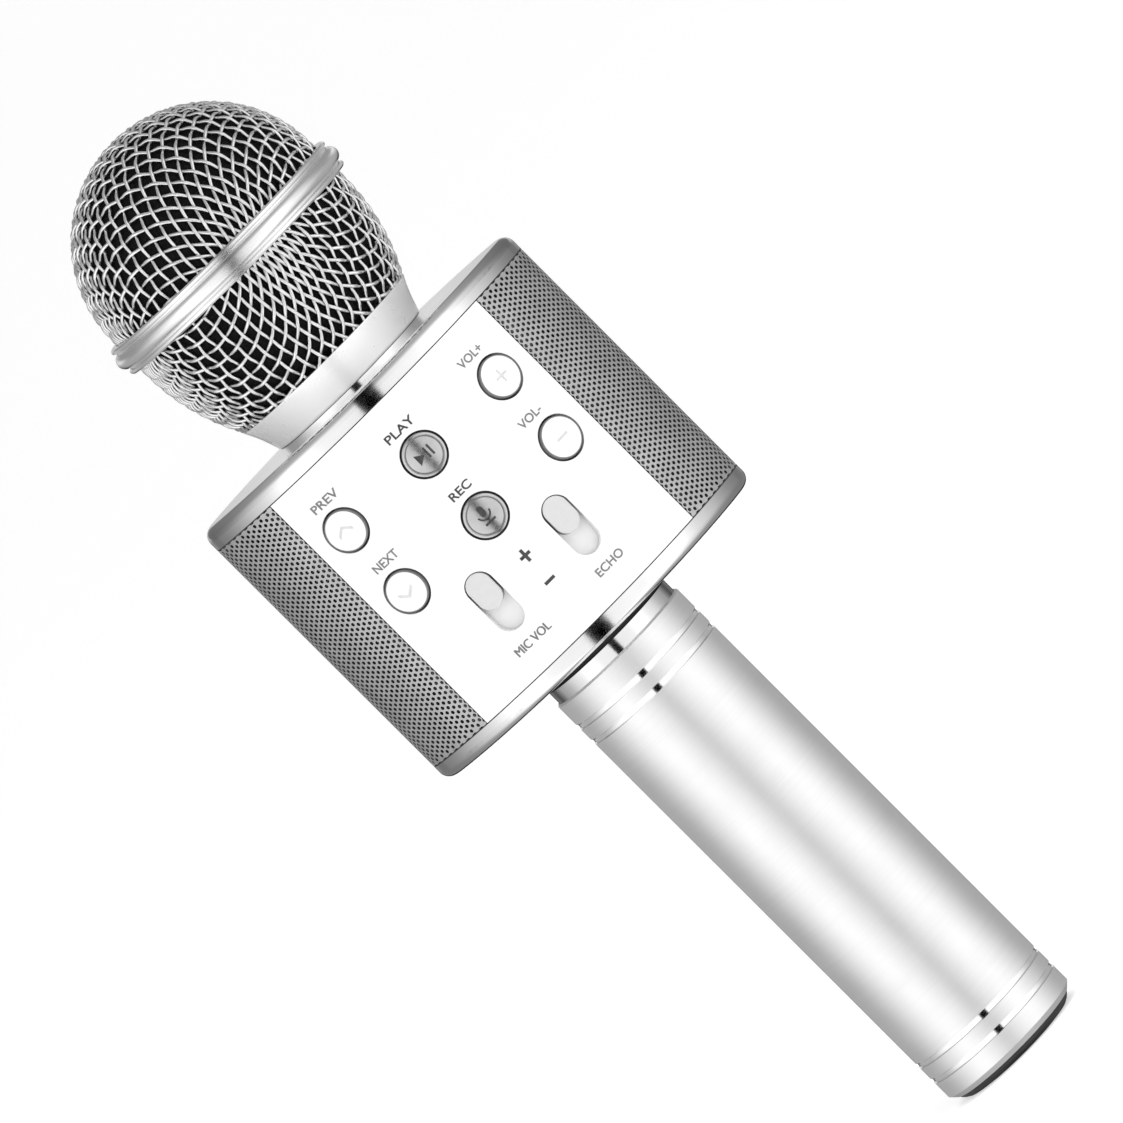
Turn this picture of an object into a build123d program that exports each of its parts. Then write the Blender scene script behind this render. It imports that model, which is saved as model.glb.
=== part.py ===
from build123d import *
import os
from math import asin, atan2, cos, radians, sin, sqrt

# Wireless karaoke microphone: woven wire ball head, wide speaker housing with a key panel,
# tubular aluminium handle with a lithium cell. Millimetres. The microphone stands upright on
# its end cap: +Z runs up the axis to the ball head, and the key panel faces -Y.

# ---- driving dimensions -------------------------------------------------------------------
# speaker housing: an oval plan of two wide arcs joined by two end arcs
BODY_HALF_WIDTH = 39.0
BODY_HALF_DEPTH = 25.0
BODY_END_RADIUS = 10.0
BODY_BOTTOM_Z = 108.6
BODY_TOP_Z = 172.2
BOTTOM_CAP_HEIGHT = 3.9
TOP_CAP_HEIGHT = 4.1
CAP_ROUNDING = 2.2
PANEL_HALF_WIDTH = 26.3
PANEL_THICKNESS = 2.0
GRILLE_SHEET = 0.8
SEAM = 0.2
FRAME_INSET = 2.3
DECK_THICKNESS = 2.0

# ball head
BALL_RADIUS = 25.65
BALL_CENTRE_Z = 208.8
MESH_THICKNESS = 1.0
BAND_CENTRE_Z = 204.7
BAND_HEIGHT = 5.8
BOWL_ARC_RADIUS = 42.0
BOWL_ARC_START_Z = 200.0
COLLAR_TOP_Z = 180.0
COLLAR_BOTTOM_Z = 173.2
COLLAR_BASE_RADIUS = 17.9
SPIGOT_RADIUS = 15.0
SPIGOT_BORE_RADIUS = 12.5
SPIGOT_FLANGE_RADIUS = 18.5
SPIGOT_TOP_Z = 178.5
THREAD_CLEARANCE = 0.08
FOAM_GAP = 0.25
FOAM_BORE_RADIUS = 14.0
CAPSULE_FLOOR_Z = 186.0
CAPSULE_RADIUS = 10.9
CAPSULE_FACE_Z = 199.0
BOOT_FLOOR = 1.5

# handle
HANDLE_RADIUS = 15.3
HANDLE_BORE_RADIUS = 14.0
HANDLE_THREAD_TOP_Z = 11.0
HANDLE_BOTTOM_Z = 1.6
HANDLE_TOP_Z = 104.3
HANDLE_GROOVES_Z = (6.9, 10.8, 95.0, 98.8)
GROOVE_WIDTH = 1.2
GROOVE_DEPTH = 0.25
NECK_RING_RADIUS = 14.7
NECK_GAP_RADIUS = 13.4
NECK_GAP_HEIGHT = 1.6
NECK_RADIUS = 12.0
END_PLUG_RADIUS = 12.12
GASKET_THICKNESS = 0.6
CELL_RADIUS = 9.1
CELL_BOTTOM_Z = 14.0
CELL_LENGTH = 65.0
SLEEVE_TOP_Z = 84.0
COUPLING_TOP_Z = 117.5

# keys: node name, distance from the middle, height
KEY_COLUMN_X = 19.7
KEY_UPPER_Z = 155.6
KEY_LOWER_Z = 140.0
KEYS = {
    "previous_button": (-KEY_COLUMN_X, KEY_UPPER_Z),
    "next_button": (-KEY_COLUMN_X, KEY_LOWER_Z),
    "play_button": (0.0, KEY_UPPER_Z),
    "record_button": (0.0, KEY_LOWER_Z),
    "volume_up_button": (KEY_COLUMN_X, KEY_UPPER_Z),
    "volume_down_button": (KEY_COLUMN_X, KEY_LOWER_Z),
}
KEY_WELL_RADIUS = 4.5
KEY_RADIUS = 4.08
KEY_PROUD = 0.6
KEY_EDGE_PROUD = 0.25
KEY_FLANGE_RADIUS = 5.2
KEY_FLANGE_TOP = -2.65
KEY_FLANGE_BOTTOM = -3.4
KEY_STEM_RADIUS = 1.5
KEY_STEM_END = -5.3
SWITCH_TOP = -4.8
SWITCH_SEAT = -7.2
SWITCH_WIDTH = 6.0

# sliders
SLIDER_X = 9.8
SLIDER_SLOT_Z = 127.75
SLIDER_SLOT_LENGTH = 13.1
SLIDER_SLOT_WIDTH = 5.9
SLIDER_KNOB_LENGTH = 7.6
SLIDER_KNOB_WIDTH = 5.1
SLIDER_END_GAP = 0.15
SLIDER_COVER_LENGTH = 19.4
SLIDER_COVER_WIDTH = 7.2
SLIDER_LEVER_END = -5.4
TRACK_TOP = -4.2
LEVER_WIDTH = 1.0
LEVER_LENGTH = 1.6
SLIDERS = {"mic_volume_slider": -SLIDER_X, "echo_slider": SLIDER_X}

# loudspeakers, which face out to both sides
SPEAKER_Z = 140.15
SPEAKER_FLANGE_RADIUS = 14.0
BAFFLE_OUTER_X = 25.5
BAFFLE_THICKNESS = 1.5
BAFFLE_HOLE_RADIUS = 12.45
BASKET_RADIUS = 12.3
BASKET_BACK_X = 17.0
BASKET_SHEET = 0.5
MAGNET_BACK_X = 10.0
MAGNET_RADIUS = 8.5
CONE_RADIUS = 10.6
SURROUND_RADIUS = 12.8

# back of the housing, from top to bottom, all on the middle line
POWER_SWITCH_Z = 153.0
POWER_SWITCH_TRAVEL = 3.0
SWITCH_SLOT_LENGTH = 7.6
SWITCH_SLOT_WIDTH = 3.6
SWITCH_BODY_Y = 19.5
USB_Z = 141.0
CARD_Z = 131.5
JACK_Z = 121.5
JACK_BORE_RADIUS = 1.8
JACK_BORE_LENGTH = 9.5
JACK_MOUTH_Y = 24.4
JACK_BARREL_RADIUS = 3.0
PORT_BOARD_Y = 14.0
MAIN_BOARD_Y = -8.8
BOARD_THICKNESS = 1.6
SCREW_X = 20.0
SCREW_SEAT_DEPTH = 1.1
SCREW_HEIGHTS = (117.3, 161.0)

# ---- values worked out from the driving dimensions ------------------------------------------
FACE_RADIUS = (
    (BODY_HALF_WIDTH - BODY_END_RADIUS) ** 2 + BODY_HALF_DEPTH**2 - BODY_END_RADIUS**2
) / (2 * (BODY_HALF_DEPTH - BODY_END_RADIUS))
FACE_CENTRE_Y = FACE_RADIUS - BODY_HALF_DEPTH
PANEL_BOTTOM_Z = BODY_BOTTOM_Z + BOTTOM_CAP_HEIGHT
PANEL_TOP_Z = BODY_TOP_Z - TOP_CAP_HEIGHT
BOWL_ARC_CENTRE_R = BALL_RADIUS - BOWL_ARC_RADIUS
CELL_TOP_Z = CELL_BOTTOM_Z + CELL_LENGTH
BASE = (Align.CENTER, Align.CENTER, Align.MIN)


# ---- shared shapes ------------------------------------------------------------------------
def disc(radius, low, high):
    """A cylinder about Z between two heights."""
    return Pos(0, 0, low) * Cylinder(radius, high - low, align=BASE)


def ring(outer, inner, low, high):
    """A plain tube about Z between two heights."""
    return disc(outer, low, high) - disc(inner, low - 1, high + 1)


def block(width, height, low, high):
    """A box centred on Z between two heights."""
    return Pos(0, 0, low) * Box(width, height, high - low, align=BASE)


def stadium(length, width, low, high):
    """A slot shape with its long axis along the local Y."""
    return Pos(0, 0, low) * extrude(SlotOverall(length, width, rotation=90), high - low)


def turned(*edges):
    """A solid of revolution about Z from edges drawn as (radius, height)."""
    return revolve(Plane.XZ * make_face(Curve() + list(edges)), Axis.Z)


def outline(*points):
    """Straight edges from point to point, left open."""
    return [Line(a, b) for a, b in zip(points, points[1:])]


def dome_arc(edge_radius, edge_z, top_z):
    """A shallow spherical dome's section, from its edge to the axis."""
    rise = top_z - edge_z
    ball = (edge_radius**2 + rise**2) / (2 * rise)
    middle = edge_radius / 2
    middle_z = top_z - ball + sqrt(ball**2 - middle**2)
    return ThreePointArc((edge_radius, edge_z), (middle, middle_z), (0, top_z))


def oval(inset, low, high):
    """The housing's plan shape, moved inwards by inset, between two heights."""
    tangent = atan2(BODY_HALF_WIDTH - BODY_END_RADIUS, FACE_CENTRE_Y)
    x = (FACE_RADIUS - inset) * sin(tangent)
    y = (FACE_RADIUS - inset) * cos(tangent) - FACE_CENTRE_Y
    depth = BODY_HALF_DEPTH - inset
    width = BODY_HALF_WIDTH - inset
    edges = [
        ThreePointArc((-x, -y), (0, -depth), (x, -y)),
        ThreePointArc((x, -y), (width, 0), (x, y)),
        ThreePointArc((x, y), (0, depth), (-x, y)),
        ThreePointArc((-x, y), (-width, 0), (-x, -y)),
    ]
    return Pos(0, 0, low) * extrude(make_face(Curve() + edges), high - low)


def on_face(x, z, shape, side=-1):
    """Moves a shape drawn with its local Z outwards onto the curved front (-1) or back (+1)."""
    turn = asin(x / FACE_RADIUS)
    place = Plane(
        origin=(x, side * (FACE_RADIUS * cos(turn) - FACE_CENTRE_Y), z),
        x_dir=(-side * cos(turn), sin(turn), 0),
        z_dir=(sin(turn), side * cos(turn), 0),
    )
    return place.location * shape


def on_back(z, shape):
    """Puts a shape drawn with its local Z outwards on the back's middle line, from the axis plane."""
    place = Plane(origin=(0, 0, z), x_dir=(-1, 0, 0), z_dir=(0, 1, 0))
    return place.location * shape


def facing(side, shape):
    """Turns a shape drawn about Z so that its local Z points to one side, +1 right or -1 left."""
    return Pos(0, 0, SPEAKER_Z) * Rot(0, 90 * side, 0) * shape


def lead(points, bend_radius, diameter):
    """A wire along straight runs joined by arcs."""
    path = FilletPolyline(*points, radius=bend_radius)
    section = Plane(origin=path @ 0, z_dir=path % 0) * Circle(diameter / 2)
    return sweep(section, path)


# ---- ball head ----------------------------------------------------------------------------
def dome_edges(radius, low):
    """Quarter circle from the top of the ball, then straight down to low."""
    slope = radius * sin(radians(45))
    return [
        ThreePointArc(
            (0, BALL_CENTRE_Z + radius),
            (slope, BALL_CENTRE_Z + slope),
            (radius, BALL_CENTRE_Z),
        ),
        Line((radius, BALL_CENTRE_Z), (radius, low)),
    ]


def bowl_radius(z, inset):
    """Radius of the lower mesh at a height."""
    return BOWL_ARC_CENTRE_R + sqrt((BOWL_ARC_RADIUS - inset) ** 2 - (BOWL_ARC_START_Z - z) ** 2)


def bowl_edge(inset, low):
    """The curved wall of the lower mesh, from where it starts to curve down to low."""
    middle = (BOWL_ARC_START_Z + low) / 2
    return ThreePointArc(
        (BALL_RADIUS - inset, BOWL_ARC_START_Z),
        (bowl_radius(middle, inset), middle),
        (bowl_radius(low, inset), low),
    )


def upper_grille():
    """Woven wire dome, as a shell of the mesh's thickness."""
    inner = BALL_RADIUS - MESH_THICKNESS
    low = BAND_CENTRE_Z + SEAM / 2
    return turned(
        *dome_edges(BALL_RADIUS, low),
        Line((BALL_RADIUS, low), (inner, low)),
        *dome_edges(inner, low),
        Line((0, BALL_CENTRE_Z + inner), (0, BALL_CENTRE_Z + BALL_RADIUS)),
    )


def lower_grille():
    """Woven wire bowl that narrows to the neck collar."""
    inner = BALL_RADIUS - MESH_THICKNESS
    high = BAND_CENTRE_Z - SEAM / 2
    return turned(
        Line((inner, high), (BALL_RADIUS, high)),
        Line((BALL_RADIUS, high), (BALL_RADIUS, BOWL_ARC_START_Z)),
        bowl_edge(0, COLLAR_TOP_Z),
        Line(
            (bowl_radius(COLLAR_TOP_Z, 0), COLLAR_TOP_Z),
            (bowl_radius(COLLAR_TOP_Z, MESH_THICKNESS), COLLAR_TOP_Z),
        ),
        bowl_edge(MESH_THICKNESS, COLLAR_TOP_Z),
        Line((inner, BOWL_ARC_START_Z), (inner, high)),
    )


def grille_band():
    """Ring that crimps the two mesh halves together: two flanges and a raised middle rib."""
    inner = BALL_RADIUS + 0.05
    flange, groove, rib = 27.25, 26.75, 28.05
    flange_height, rib_half = 1.05, 1.6
    low = BAND_CENTRE_Z - BAND_HEIGHT / 2
    high = BAND_CENTRE_Z + BAND_HEIGHT / 2
    edge = 0.3
    return turned(
        *outline(
            (groove, BAND_CENTRE_Z + rib_half),
            (groove, high - flange_height),
            (flange, high - flange_height + edge),
            (flange, high - edge),
            (flange - edge, high),
            (inner, high),
            (inner, low),
            (flange - edge, low),
            (flange, low + edge),
            (flange, low + flange_height - edge),
            (groove, low + flange_height),
            (groove, BAND_CENTRE_Z - rib_half),
        ),
        ThreePointArc(
            (groove, BAND_CENTRE_Z - rib_half), (rib, BAND_CENTRE_Z), (groove, BAND_CENTRE_Z + rib_half)
        ),
    )


def neck_collar():
    """Flared metal collar under the mesh, threaded inside to screw onto the head spigot."""
    bore = SPIGOT_RADIUS + THREAD_CLEARANCE
    seat_depth, seat_radius = 3.5, 18.9
    top_radius = bowl_radius(COLLAR_TOP_Z, 0)
    return turned(
        ThreePointArc(
            (COLLAR_BASE_RADIUS, COLLAR_BOTTOM_Z), (18.6, 176.1), (top_radius, COLLAR_TOP_Z)
        ),
        *outline(
            (top_radius, COLLAR_TOP_Z),
            (seat_radius, COLLAR_TOP_Z),
            (seat_radius, COLLAR_TOP_Z - seat_depth),
            (bore, COLLAR_TOP_Z - seat_depth),
            (bore, COLLAR_BOTTOM_Z),
            (COLLAR_BASE_RADIUS, COLLAR_BOTTOM_Z),
        ),
    )


def foam_liner():
    """Soft foam windscreen that lines the mesh, open below around the capsule."""
    inset = MESH_THICKNESS + FOAM_GAP
    outer = BALL_RADIUS - inset
    low = COLLAR_TOP_Z + 1.0
    slope = FOAM_BORE_RADIUS * sin(radians(45))
    return turned(
        *dome_edges(outer, BOWL_ARC_START_Z),
        bowl_edge(inset, low),
        *outline(
            (bowl_radius(low, inset), low),
            (FOAM_BORE_RADIUS, low),
            (FOAM_BORE_RADIUS, BALL_CENTRE_Z),
        ),
        ThreePointArc(
            (FOAM_BORE_RADIUS, BALL_CENTRE_Z),
            (slope, BALL_CENTRE_Z + slope),
            (0, BALL_CENTRE_Z + FOAM_BORE_RADIUS),
        ),
        Line((0, BALL_CENTRE_Z + FOAM_BORE_RADIUS), (0, BALL_CENTRE_Z + outer)),
    )


# ---- microphone capsule -------------------------------------------------------------------
def head_spigot():
    """Threaded tube that the head screws onto, clamped under the top cap by its flange."""
    flange = disc(SPIGOT_FLANGE_RADIUS, PANEL_TOP_Z - DECK_THICKNESS, PANEL_TOP_Z)
    tube = disc(SPIGOT_RADIUS, PANEL_TOP_Z, SPIGOT_TOP_Z)
    return flange + tube - disc(SPIGOT_BORE_RADIUS, PANEL_TOP_Z - 5, SPIGOT_TOP_Z + 1)


def capsule_holder():
    """Plastic cup that carries the capsule above the spigot."""
    cup = disc(SPIGOT_BORE_RADIUS - 0.1, 168.0, CAPSULE_FLOOR_Z)
    return cup - disc(9.0, 167.0, CAPSULE_FLOOR_Z - 2) - disc(2.0, 167.0, CAPSULE_FLOOR_Z + 1)


def shock_mount():
    """Rubber boot between the holder and the capsule."""
    outer = CAPSULE_RADIUS + 1.4
    wall = ring(outer, CAPSULE_RADIUS + 0.1, CAPSULE_FLOOR_Z, CAPSULE_FLOOR_Z + 10)
    return wall + ring(outer, 3.0, CAPSULE_FLOOR_Z, CAPSULE_FLOOR_Z + BOOT_FLOOR)


def capsule_body():
    """Metal can of the dynamic capsule."""
    can = disc(CAPSULE_RADIUS, CAPSULE_FLOOR_Z + BOOT_FLOOR, CAPSULE_FACE_Z)
    return fillet(can.edges().group_by(Axis.Z)[0], 0.8)


def capsule_grid():
    """Perforated front of the capsule."""
    low, high = CAPSULE_FACE_Z, CAPSULE_FACE_Z + 1.6
    grid = chamfer(disc(CAPSULE_RADIUS, low, high).edges().group_by(Axis.Z)[-1], 0.6)
    hole = disc(1.2, low - 1, high + 1)
    circle = [Rot(0, 0, 60 * i) * Pos(5.5, 0, 0) * hole for i in range(6)]
    return grid - [hole, *circle]


def capsule_lead():
    """Screened wire from the capsule down to the main board."""
    route = [(0, 0, CAPSULE_FLOOR_Z + BOOT_FLOOR), (0, 0, 168), (0, -3, 158), (0, MAIN_BOARD_Y, 158)]
    return lead(route, (6, 2.4), 1.6)


# ---- speaker housing ----------------------------------------------------------------------
def top_cap():
    """Plated cover over the housing, with the low seat that the neck collar closes on."""
    plate = oval(0, PANEL_TOP_Z, BODY_TOP_Z)
    plate = fillet(plate.edges().group_by(Axis.Z)[-1], CAP_ROUNDING)
    seat = disc(COLLAR_BASE_RADIUS, BODY_TOP_Z - 1, COLLAR_BOTTOM_Z - 0.1)
    return plate + seat - disc(SPIGOT_RADIUS + 0.1, PANEL_TOP_Z - 1, BODY_TOP_Z + 5)


def bottom_cap():
    """Plated cover under the housing."""
    plate = oval(0, BODY_BOTTOM_Z, PANEL_BOTTOM_Z)
    plate = fillet(plate.edges().group_by(Axis.Z)[0], CAP_ROUNDING)
    return plate - disc(NECK_RADIUS + 0.05, BODY_BOTTOM_Z - 1, PANEL_BOTTOM_Z + 1)


def housing_wall(thickness):
    """The whole oval wall between the two caps."""
    wall = oval(0, PANEL_BOTTOM_Z, PANEL_TOP_Z)
    return wall - oval(thickness, PANEL_BOTTOM_Z - 1, PANEL_TOP_Z + 1)


def half_space(side):
    """A block over the panel's width, on the front (-1) or the back (+1)."""
    reach = BODY_HALF_DEPTH + 5
    centre = Pos(0, side * reach / 2, (PANEL_BOTTOM_Z + PANEL_TOP_Z) / 2)
    return centre * Box(2 * PANEL_HALF_WIDTH, reach, 80)


def front_panel():
    """Curved key panel with a round well for each key and two slider slots."""
    panel = housing_wall(PANEL_THICKNESS) & half_space(-1)
    wells = [on_face(x, z, disc(KEY_WELL_RADIUS, -6, 4)) for x, z in KEYS.values()]
    slot = stadium(SLIDER_SLOT_LENGTH, SLIDER_SLOT_WIDTH, -6, 4)
    slots = [on_face(x, SLIDER_SLOT_Z, slot) for x in SLIDERS.values()]
    return panel - wells - slots


def rear_panel():
    """Curved back panel with the openings of the sockets, the switch and four screws."""
    panel = housing_wall(PANEL_THICKNESS) & half_space(1)
    low, high = BODY_HALF_DEPTH - 6, BODY_HALF_DEPTH + 3
    cuts = [
        on_back(POWER_SWITCH_Z, stadium(SWITCH_SLOT_LENGTH, SWITCH_SLOT_WIDTH, low, high)),
        on_back(USB_Z, block(8.4, 3.6, low, high)),
        on_back(CARD_Z, block(13.6, 2.4, low, high)),
        on_back(JACK_Z, disc(JACK_BARREL_RADIUS + 0.15, low, high)),
    ]
    for x, z in screw_places():
        cuts.append(on_face(x, z, disc(2.5, -SCREW_SEAT_DEPTH, 3), side=1))
        cuts.append(on_face(x, z, disc(1.35, -6, 3), side=1))
    return panel - cuts


def side_grilles(side):
    """Perforated steel wrap over one end of the housing, as a plain curved sheet."""
    start = PANEL_HALF_WIDTH + SEAM
    reach = BODY_HALF_WIDTH + 1 - start
    centre = Pos(side * (start + reach / 2), 0, (PANEL_BOTTOM_Z + PANEL_TOP_Z) / 2)
    return housing_wall(GRILLE_SHEET) & (centre * Box(reach, 2 * BODY_HALF_DEPTH, 80))


def screw_places():
    """Where the four back screws sit, as (x, z)."""
    return [(side * SCREW_X, z) for side in (-1, 1) for z in SCREW_HEIGHTS]


def inner_frame():
    """Moulded chassis: two decks, two loudspeaker baffles and four screw bosses."""
    low_deck = oval(FRAME_INSET, PANEL_BOTTOM_Z, PANEL_BOTTOM_Z + DECK_THICKNESS)
    low_deck -= disc(NECK_RADIUS + 0.05, PANEL_BOTTOM_Z - 1, PANEL_BOTTOM_Z + 5)
    top_deck = oval(FRAME_INSET, PANEL_TOP_Z - 2 * DECK_THICKNESS, PANEL_TOP_Z)
    top_deck -= disc(SPIGOT_FLANGE_RADIUS + 0.1, PANEL_TOP_Z - DECK_THICKNESS, PANEL_TOP_Z + 1)
    top_deck -= disc(SPIGOT_BORE_RADIUS + 1, PANEL_TOP_Z - 6, PANEL_TOP_Z + 1)
    frame = low_deck + top_deck
    for side in (-1, 1):
        middle = side * (BAFFLE_OUTER_X - BAFFLE_THICKNESS / 2)
        baffle = Box(BAFFLE_THICKNESS, 28.4, PANEL_TOP_Z - PANEL_BOTTOM_Z)
        frame += Pos(middle, 0, (PANEL_BOTTOM_Z + PANEL_TOP_Z) / 2) * baffle
        frame -= facing(side, disc(BAFFLE_HOLE_RADIUS, BAFFLE_OUTER_X - 4, BAFFLE_OUTER_X + 4))
    for x, z in screw_places():
        frame += on_face(x, z, disc(3.2, -8.5, -PANEL_THICKNESS - 0.35), side=1)
        frame -= on_face(x, z, disc(1.25, -7.8, 1), side=1)
    return frame


def rear_screws():
    """Four pan-head screws that hold the back panel to the chassis."""
    seat, top = -SCREW_SEAT_DEPTH, -0.1
    head = fillet(disc(2.2, seat, top).edges().group_by(Axis.Z)[-1], 0.4)
    cross = block(2.6, 0.6, top - 0.6, top + 1) + block(0.6, 2.6, top - 0.6, top + 1)
    screw = head + disc(1.2, -7.2, seat) - cross
    return Compound([on_face(x, z, screw, side=1) for x, z in screw_places()])


# ---- loudspeakers -------------------------------------------------------------------------
def speaker_basket(side):
    """Pressed steel basket with its mounting flange and solder tag."""
    wall, centre_hole = BASKET_SHEET, 4.6
    front = BAFFLE_OUTER_X + 1.2
    shoulder = BAFFLE_OUTER_X - 1.0
    basket = turned(
        *outline(
            (MAGNET_RADIUS, BASKET_BACK_X),
            (BASKET_RADIUS, shoulder),
            (BASKET_RADIUS, BAFFLE_OUTER_X),
            (SPEAKER_FLANGE_RADIUS, BAFFLE_OUTER_X),
            (SPEAKER_FLANGE_RADIUS, front),
            (SURROUND_RADIUS + 0.1, front),
            (SURROUND_RADIUS + 0.1, front - wall),
            (BASKET_RADIUS - wall, front - wall),
            (BASKET_RADIUS - wall, shoulder),
            (MAGNET_RADIUS - wall, BASKET_BACK_X + wall),
            (centre_hole, BASKET_BACK_X + wall),
            (centre_hole, BASKET_BACK_X),
            (MAGNET_RADIUS, BASKET_BACK_X),
        )
    )
    tag = Pos(-9.6 * side, 0, BASKET_BACK_X + 2.5) * Box(2.4, 5, 0.8)
    return facing(side, basket + tag)


def speaker_magnet(side):
    """Ferrite ring magnet with its steel yoke."""
    yoke = disc(MAGNET_RADIUS, MAGNET_BACK_X, BASKET_BACK_X)
    return facing(side, chamfer(yoke.edges().group_by(Axis.Z)[0], 0.6))


def speaker_cone(side):
    """Paper cone with its domed dust cap and voice coil former, as one glued piece."""
    skin = 0.3
    former, cap, depth, cap_rise = 4.0, 4.8, 4.2, 1.5
    coil_back = BASKET_BACK_X + 1.0
    front = BAFFLE_OUTER_X + 0.7
    slope = depth / (CONE_RADIUS - former)
    cap_z = front - (CONE_RADIUS - cap) * slope
    return facing(
        side,
        turned(
            *outline(
                (former - skin, coil_back),
                (former, coil_back),
                (former, front - depth),
                (CONE_RADIUS, front),
                (CONE_RADIUS, front + skin),
                (cap, cap_z + skin),
            ),
            dome_arc(cap, cap_z + skin, cap_z + skin + cap_rise),
            Line((0, cap_z + skin + cap_rise), (0, cap_z - skin + cap_rise)),
            dome_arc(former - skin, cap_z - skin, cap_z - skin + cap_rise),
            Line((former - skin, cap_z - skin), (former - skin, coil_back)),
        ),
    )


def speaker_surround(side):
    """Rubber half-roll between the cone's rim and the basket."""
    base = BAFFLE_OUTER_X + 0.7
    skin = 0.35
    inner, outer = CONE_RADIUS, SURROUND_RADIUS
    middle, half = (inner + outer) / 2, (outer - inner) / 2
    return facing(
        side,
        turned(
            ThreePointArc((inner, base), (middle, base + half), (outer, base)),
            Line((outer, base), (outer - skin, base)),
            ThreePointArc((outer - skin, base), (middle, base + half - skin), (inner + skin, base)),
            Line((inner + skin, base), (inner, base)),
        ),
    )


# ---- keys and sliders ---------------------------------------------------------------------
def key_cap():
    """A round key: domed top, retaining flange behind the panel and a stem."""
    dome = turned(
        *outline((0, KEY_FLANGE_BOTTOM), (KEY_RADIUS, KEY_FLANGE_BOTTOM), (KEY_RADIUS, KEY_EDGE_PROUD)),
        dome_arc(KEY_RADIUS, KEY_EDGE_PROUD, KEY_PROUD),
        Line((0, KEY_PROUD), (0, KEY_FLANGE_BOTTOM)),
    )
    flange = disc(KEY_FLANGE_RADIUS, KEY_FLANGE_BOTTOM, KEY_FLANGE_TOP)
    return dome + flange + disc(KEY_STEM_RADIUS, KEY_STEM_END, KEY_FLANGE_BOTTOM)


def key_switches():
    """Six tact switches, each bored for the stem of its key."""
    body = block(SWITCH_WIDTH, SWITCH_WIDTH, SWITCH_SEAT, SWITCH_TOP)
    body -= disc(KEY_STEM_RADIUS + 0.25, KEY_STEM_END - 0.9, SWITCH_TOP + 1)
    return Compound([on_face(x, z, body) for x, z in KEYS.values()])


def key_carrier():
    """Curved carrier with the flexible circuit that the switches and sliders sit on."""
    outer = FACE_RADIUS + SWITCH_SEAT
    low, high = PANEL_BOTTOM_Z + DECK_THICKNESS, PANEL_TOP_Z - 2 * DECK_THICKNESS
    plate = Pos(0, FACE_CENTRE_Y, 0) * ring(outer, outer - 1.2, low, high)
    return plate & (Pos(0, -BODY_HALF_DEPTH, (low + high) / 2) * Box(41.0, 27.6, 60))


def slider_knob():
    """A slider: finger pad, the cover that hides its slot and the lever into its track."""
    cover_bottom, cover_top, pad_top = -2.9, -2.35, 0.4
    pad = stadium(SLIDER_KNOB_LENGTH, SLIDER_KNOB_WIDTH, cover_bottom, pad_top)
    pad = fillet(pad.edges().group_by(Axis.Z)[-1], 0.35)
    cover = block(SLIDER_COVER_WIDTH, SLIDER_COVER_LENGTH, cover_bottom, cover_top)
    lever = block(LEVER_WIDTH, LEVER_LENGTH, SLIDER_LEVER_END, cover_bottom)
    return pad + cover + lever


def slider_rest_z():
    """Both knobs rest at the upper end of their slots."""
    return SLIDER_SLOT_Z + (SLIDER_SLOT_LENGTH - SLIDER_KNOB_LENGTH) / 2 - SLIDER_END_GAP


def slider_tracks():
    """Two slide potentiometers, each slit for its lever."""
    body = block(5.0, 17.0, SWITCH_SEAT, TRACK_TOP)
    body -= block(LEVER_WIDTH + 0.5, LEVER_LENGTH + 7.4, SLIDER_LEVER_END - 0.6, TRACK_TOP + 1)
    return Compound([on_face(x, SLIDER_SLOT_Z, body) for x in SLIDERS.values()])


# ---- electronics --------------------------------------------------------------------------
def board(width, back_y):
    """An upright circuit board that stands on the coupling nut and reaches the top deck."""
    low, high = COUPLING_TOP_Z, PANEL_TOP_Z - 2 * DECK_THICKNESS
    return Pos(0, back_y - BOARD_THICKNESS / 2, 0) * block(width, BOARD_THICKNESS, low, high)


def main_board():
    """Main circuit board, upright behind the keys."""
    return board(32, MAIN_BOARD_Y)


def main_board_parts():
    """Packages on the main board: processor, amplifier, two capacitors and two connectors."""

    def package(x, z, width, height, depth):
        return Pos(x, MAIN_BOARD_Y + depth / 2, z) * Box(width, depth, height)

    def capacitor(x, z):
        return on_back(z, Pos(-x, 0, 0) * disc(2.5, MAIN_BOARD_Y, MAIN_BOARD_Y + 6))

    return Compound(
        [
            package(0, 146, 7, 7, 1.0),
            package(-2, 134, 5, 5, 0.9),
            package(5.5, 151.5, 3, 6, 3.0),
            package(-4.5, 122.5, 6, 4, 3.5),
            capacitor(5.5, 134),
            capacitor(5.5, 127.5),
        ]
    )


def port_board():
    """Second circuit board that carries the sockets and the power switch."""
    return board(26, PORT_BOARD_Y)


def usb_socket():
    """Charging socket: a shell with a contact tongue."""
    shell = block(7.6, 2.9, PORT_BOARD_Y, 24.2) - block(7.0, 2.3, 18.5, 25)
    return on_back(USB_Z, shell + block(5.0, 0.6, 18.0, 22.8))


def card_socket():
    """Memory card socket."""
    shell = block(12.8, 1.9, PORT_BOARD_Y, 23.6) - block(11.4, 1.1, 15.2, 25)
    return on_back(CARD_Z, shell)


def audio_jack():
    """Audio socket: a block on the board and a round barrel that shows at the back."""
    body = block(7.0, 7.0, PORT_BOARD_Y, 20.5) + disc(JACK_BARREL_RADIUS, PORT_BOARD_Y, JACK_MOUTH_Y)
    bore = disc(JACK_BORE_RADIUS, JACK_MOUTH_Y - JACK_BORE_LENGTH, JACK_MOUTH_Y + 1)
    return on_back(JACK_Z, body - bore)


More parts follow.
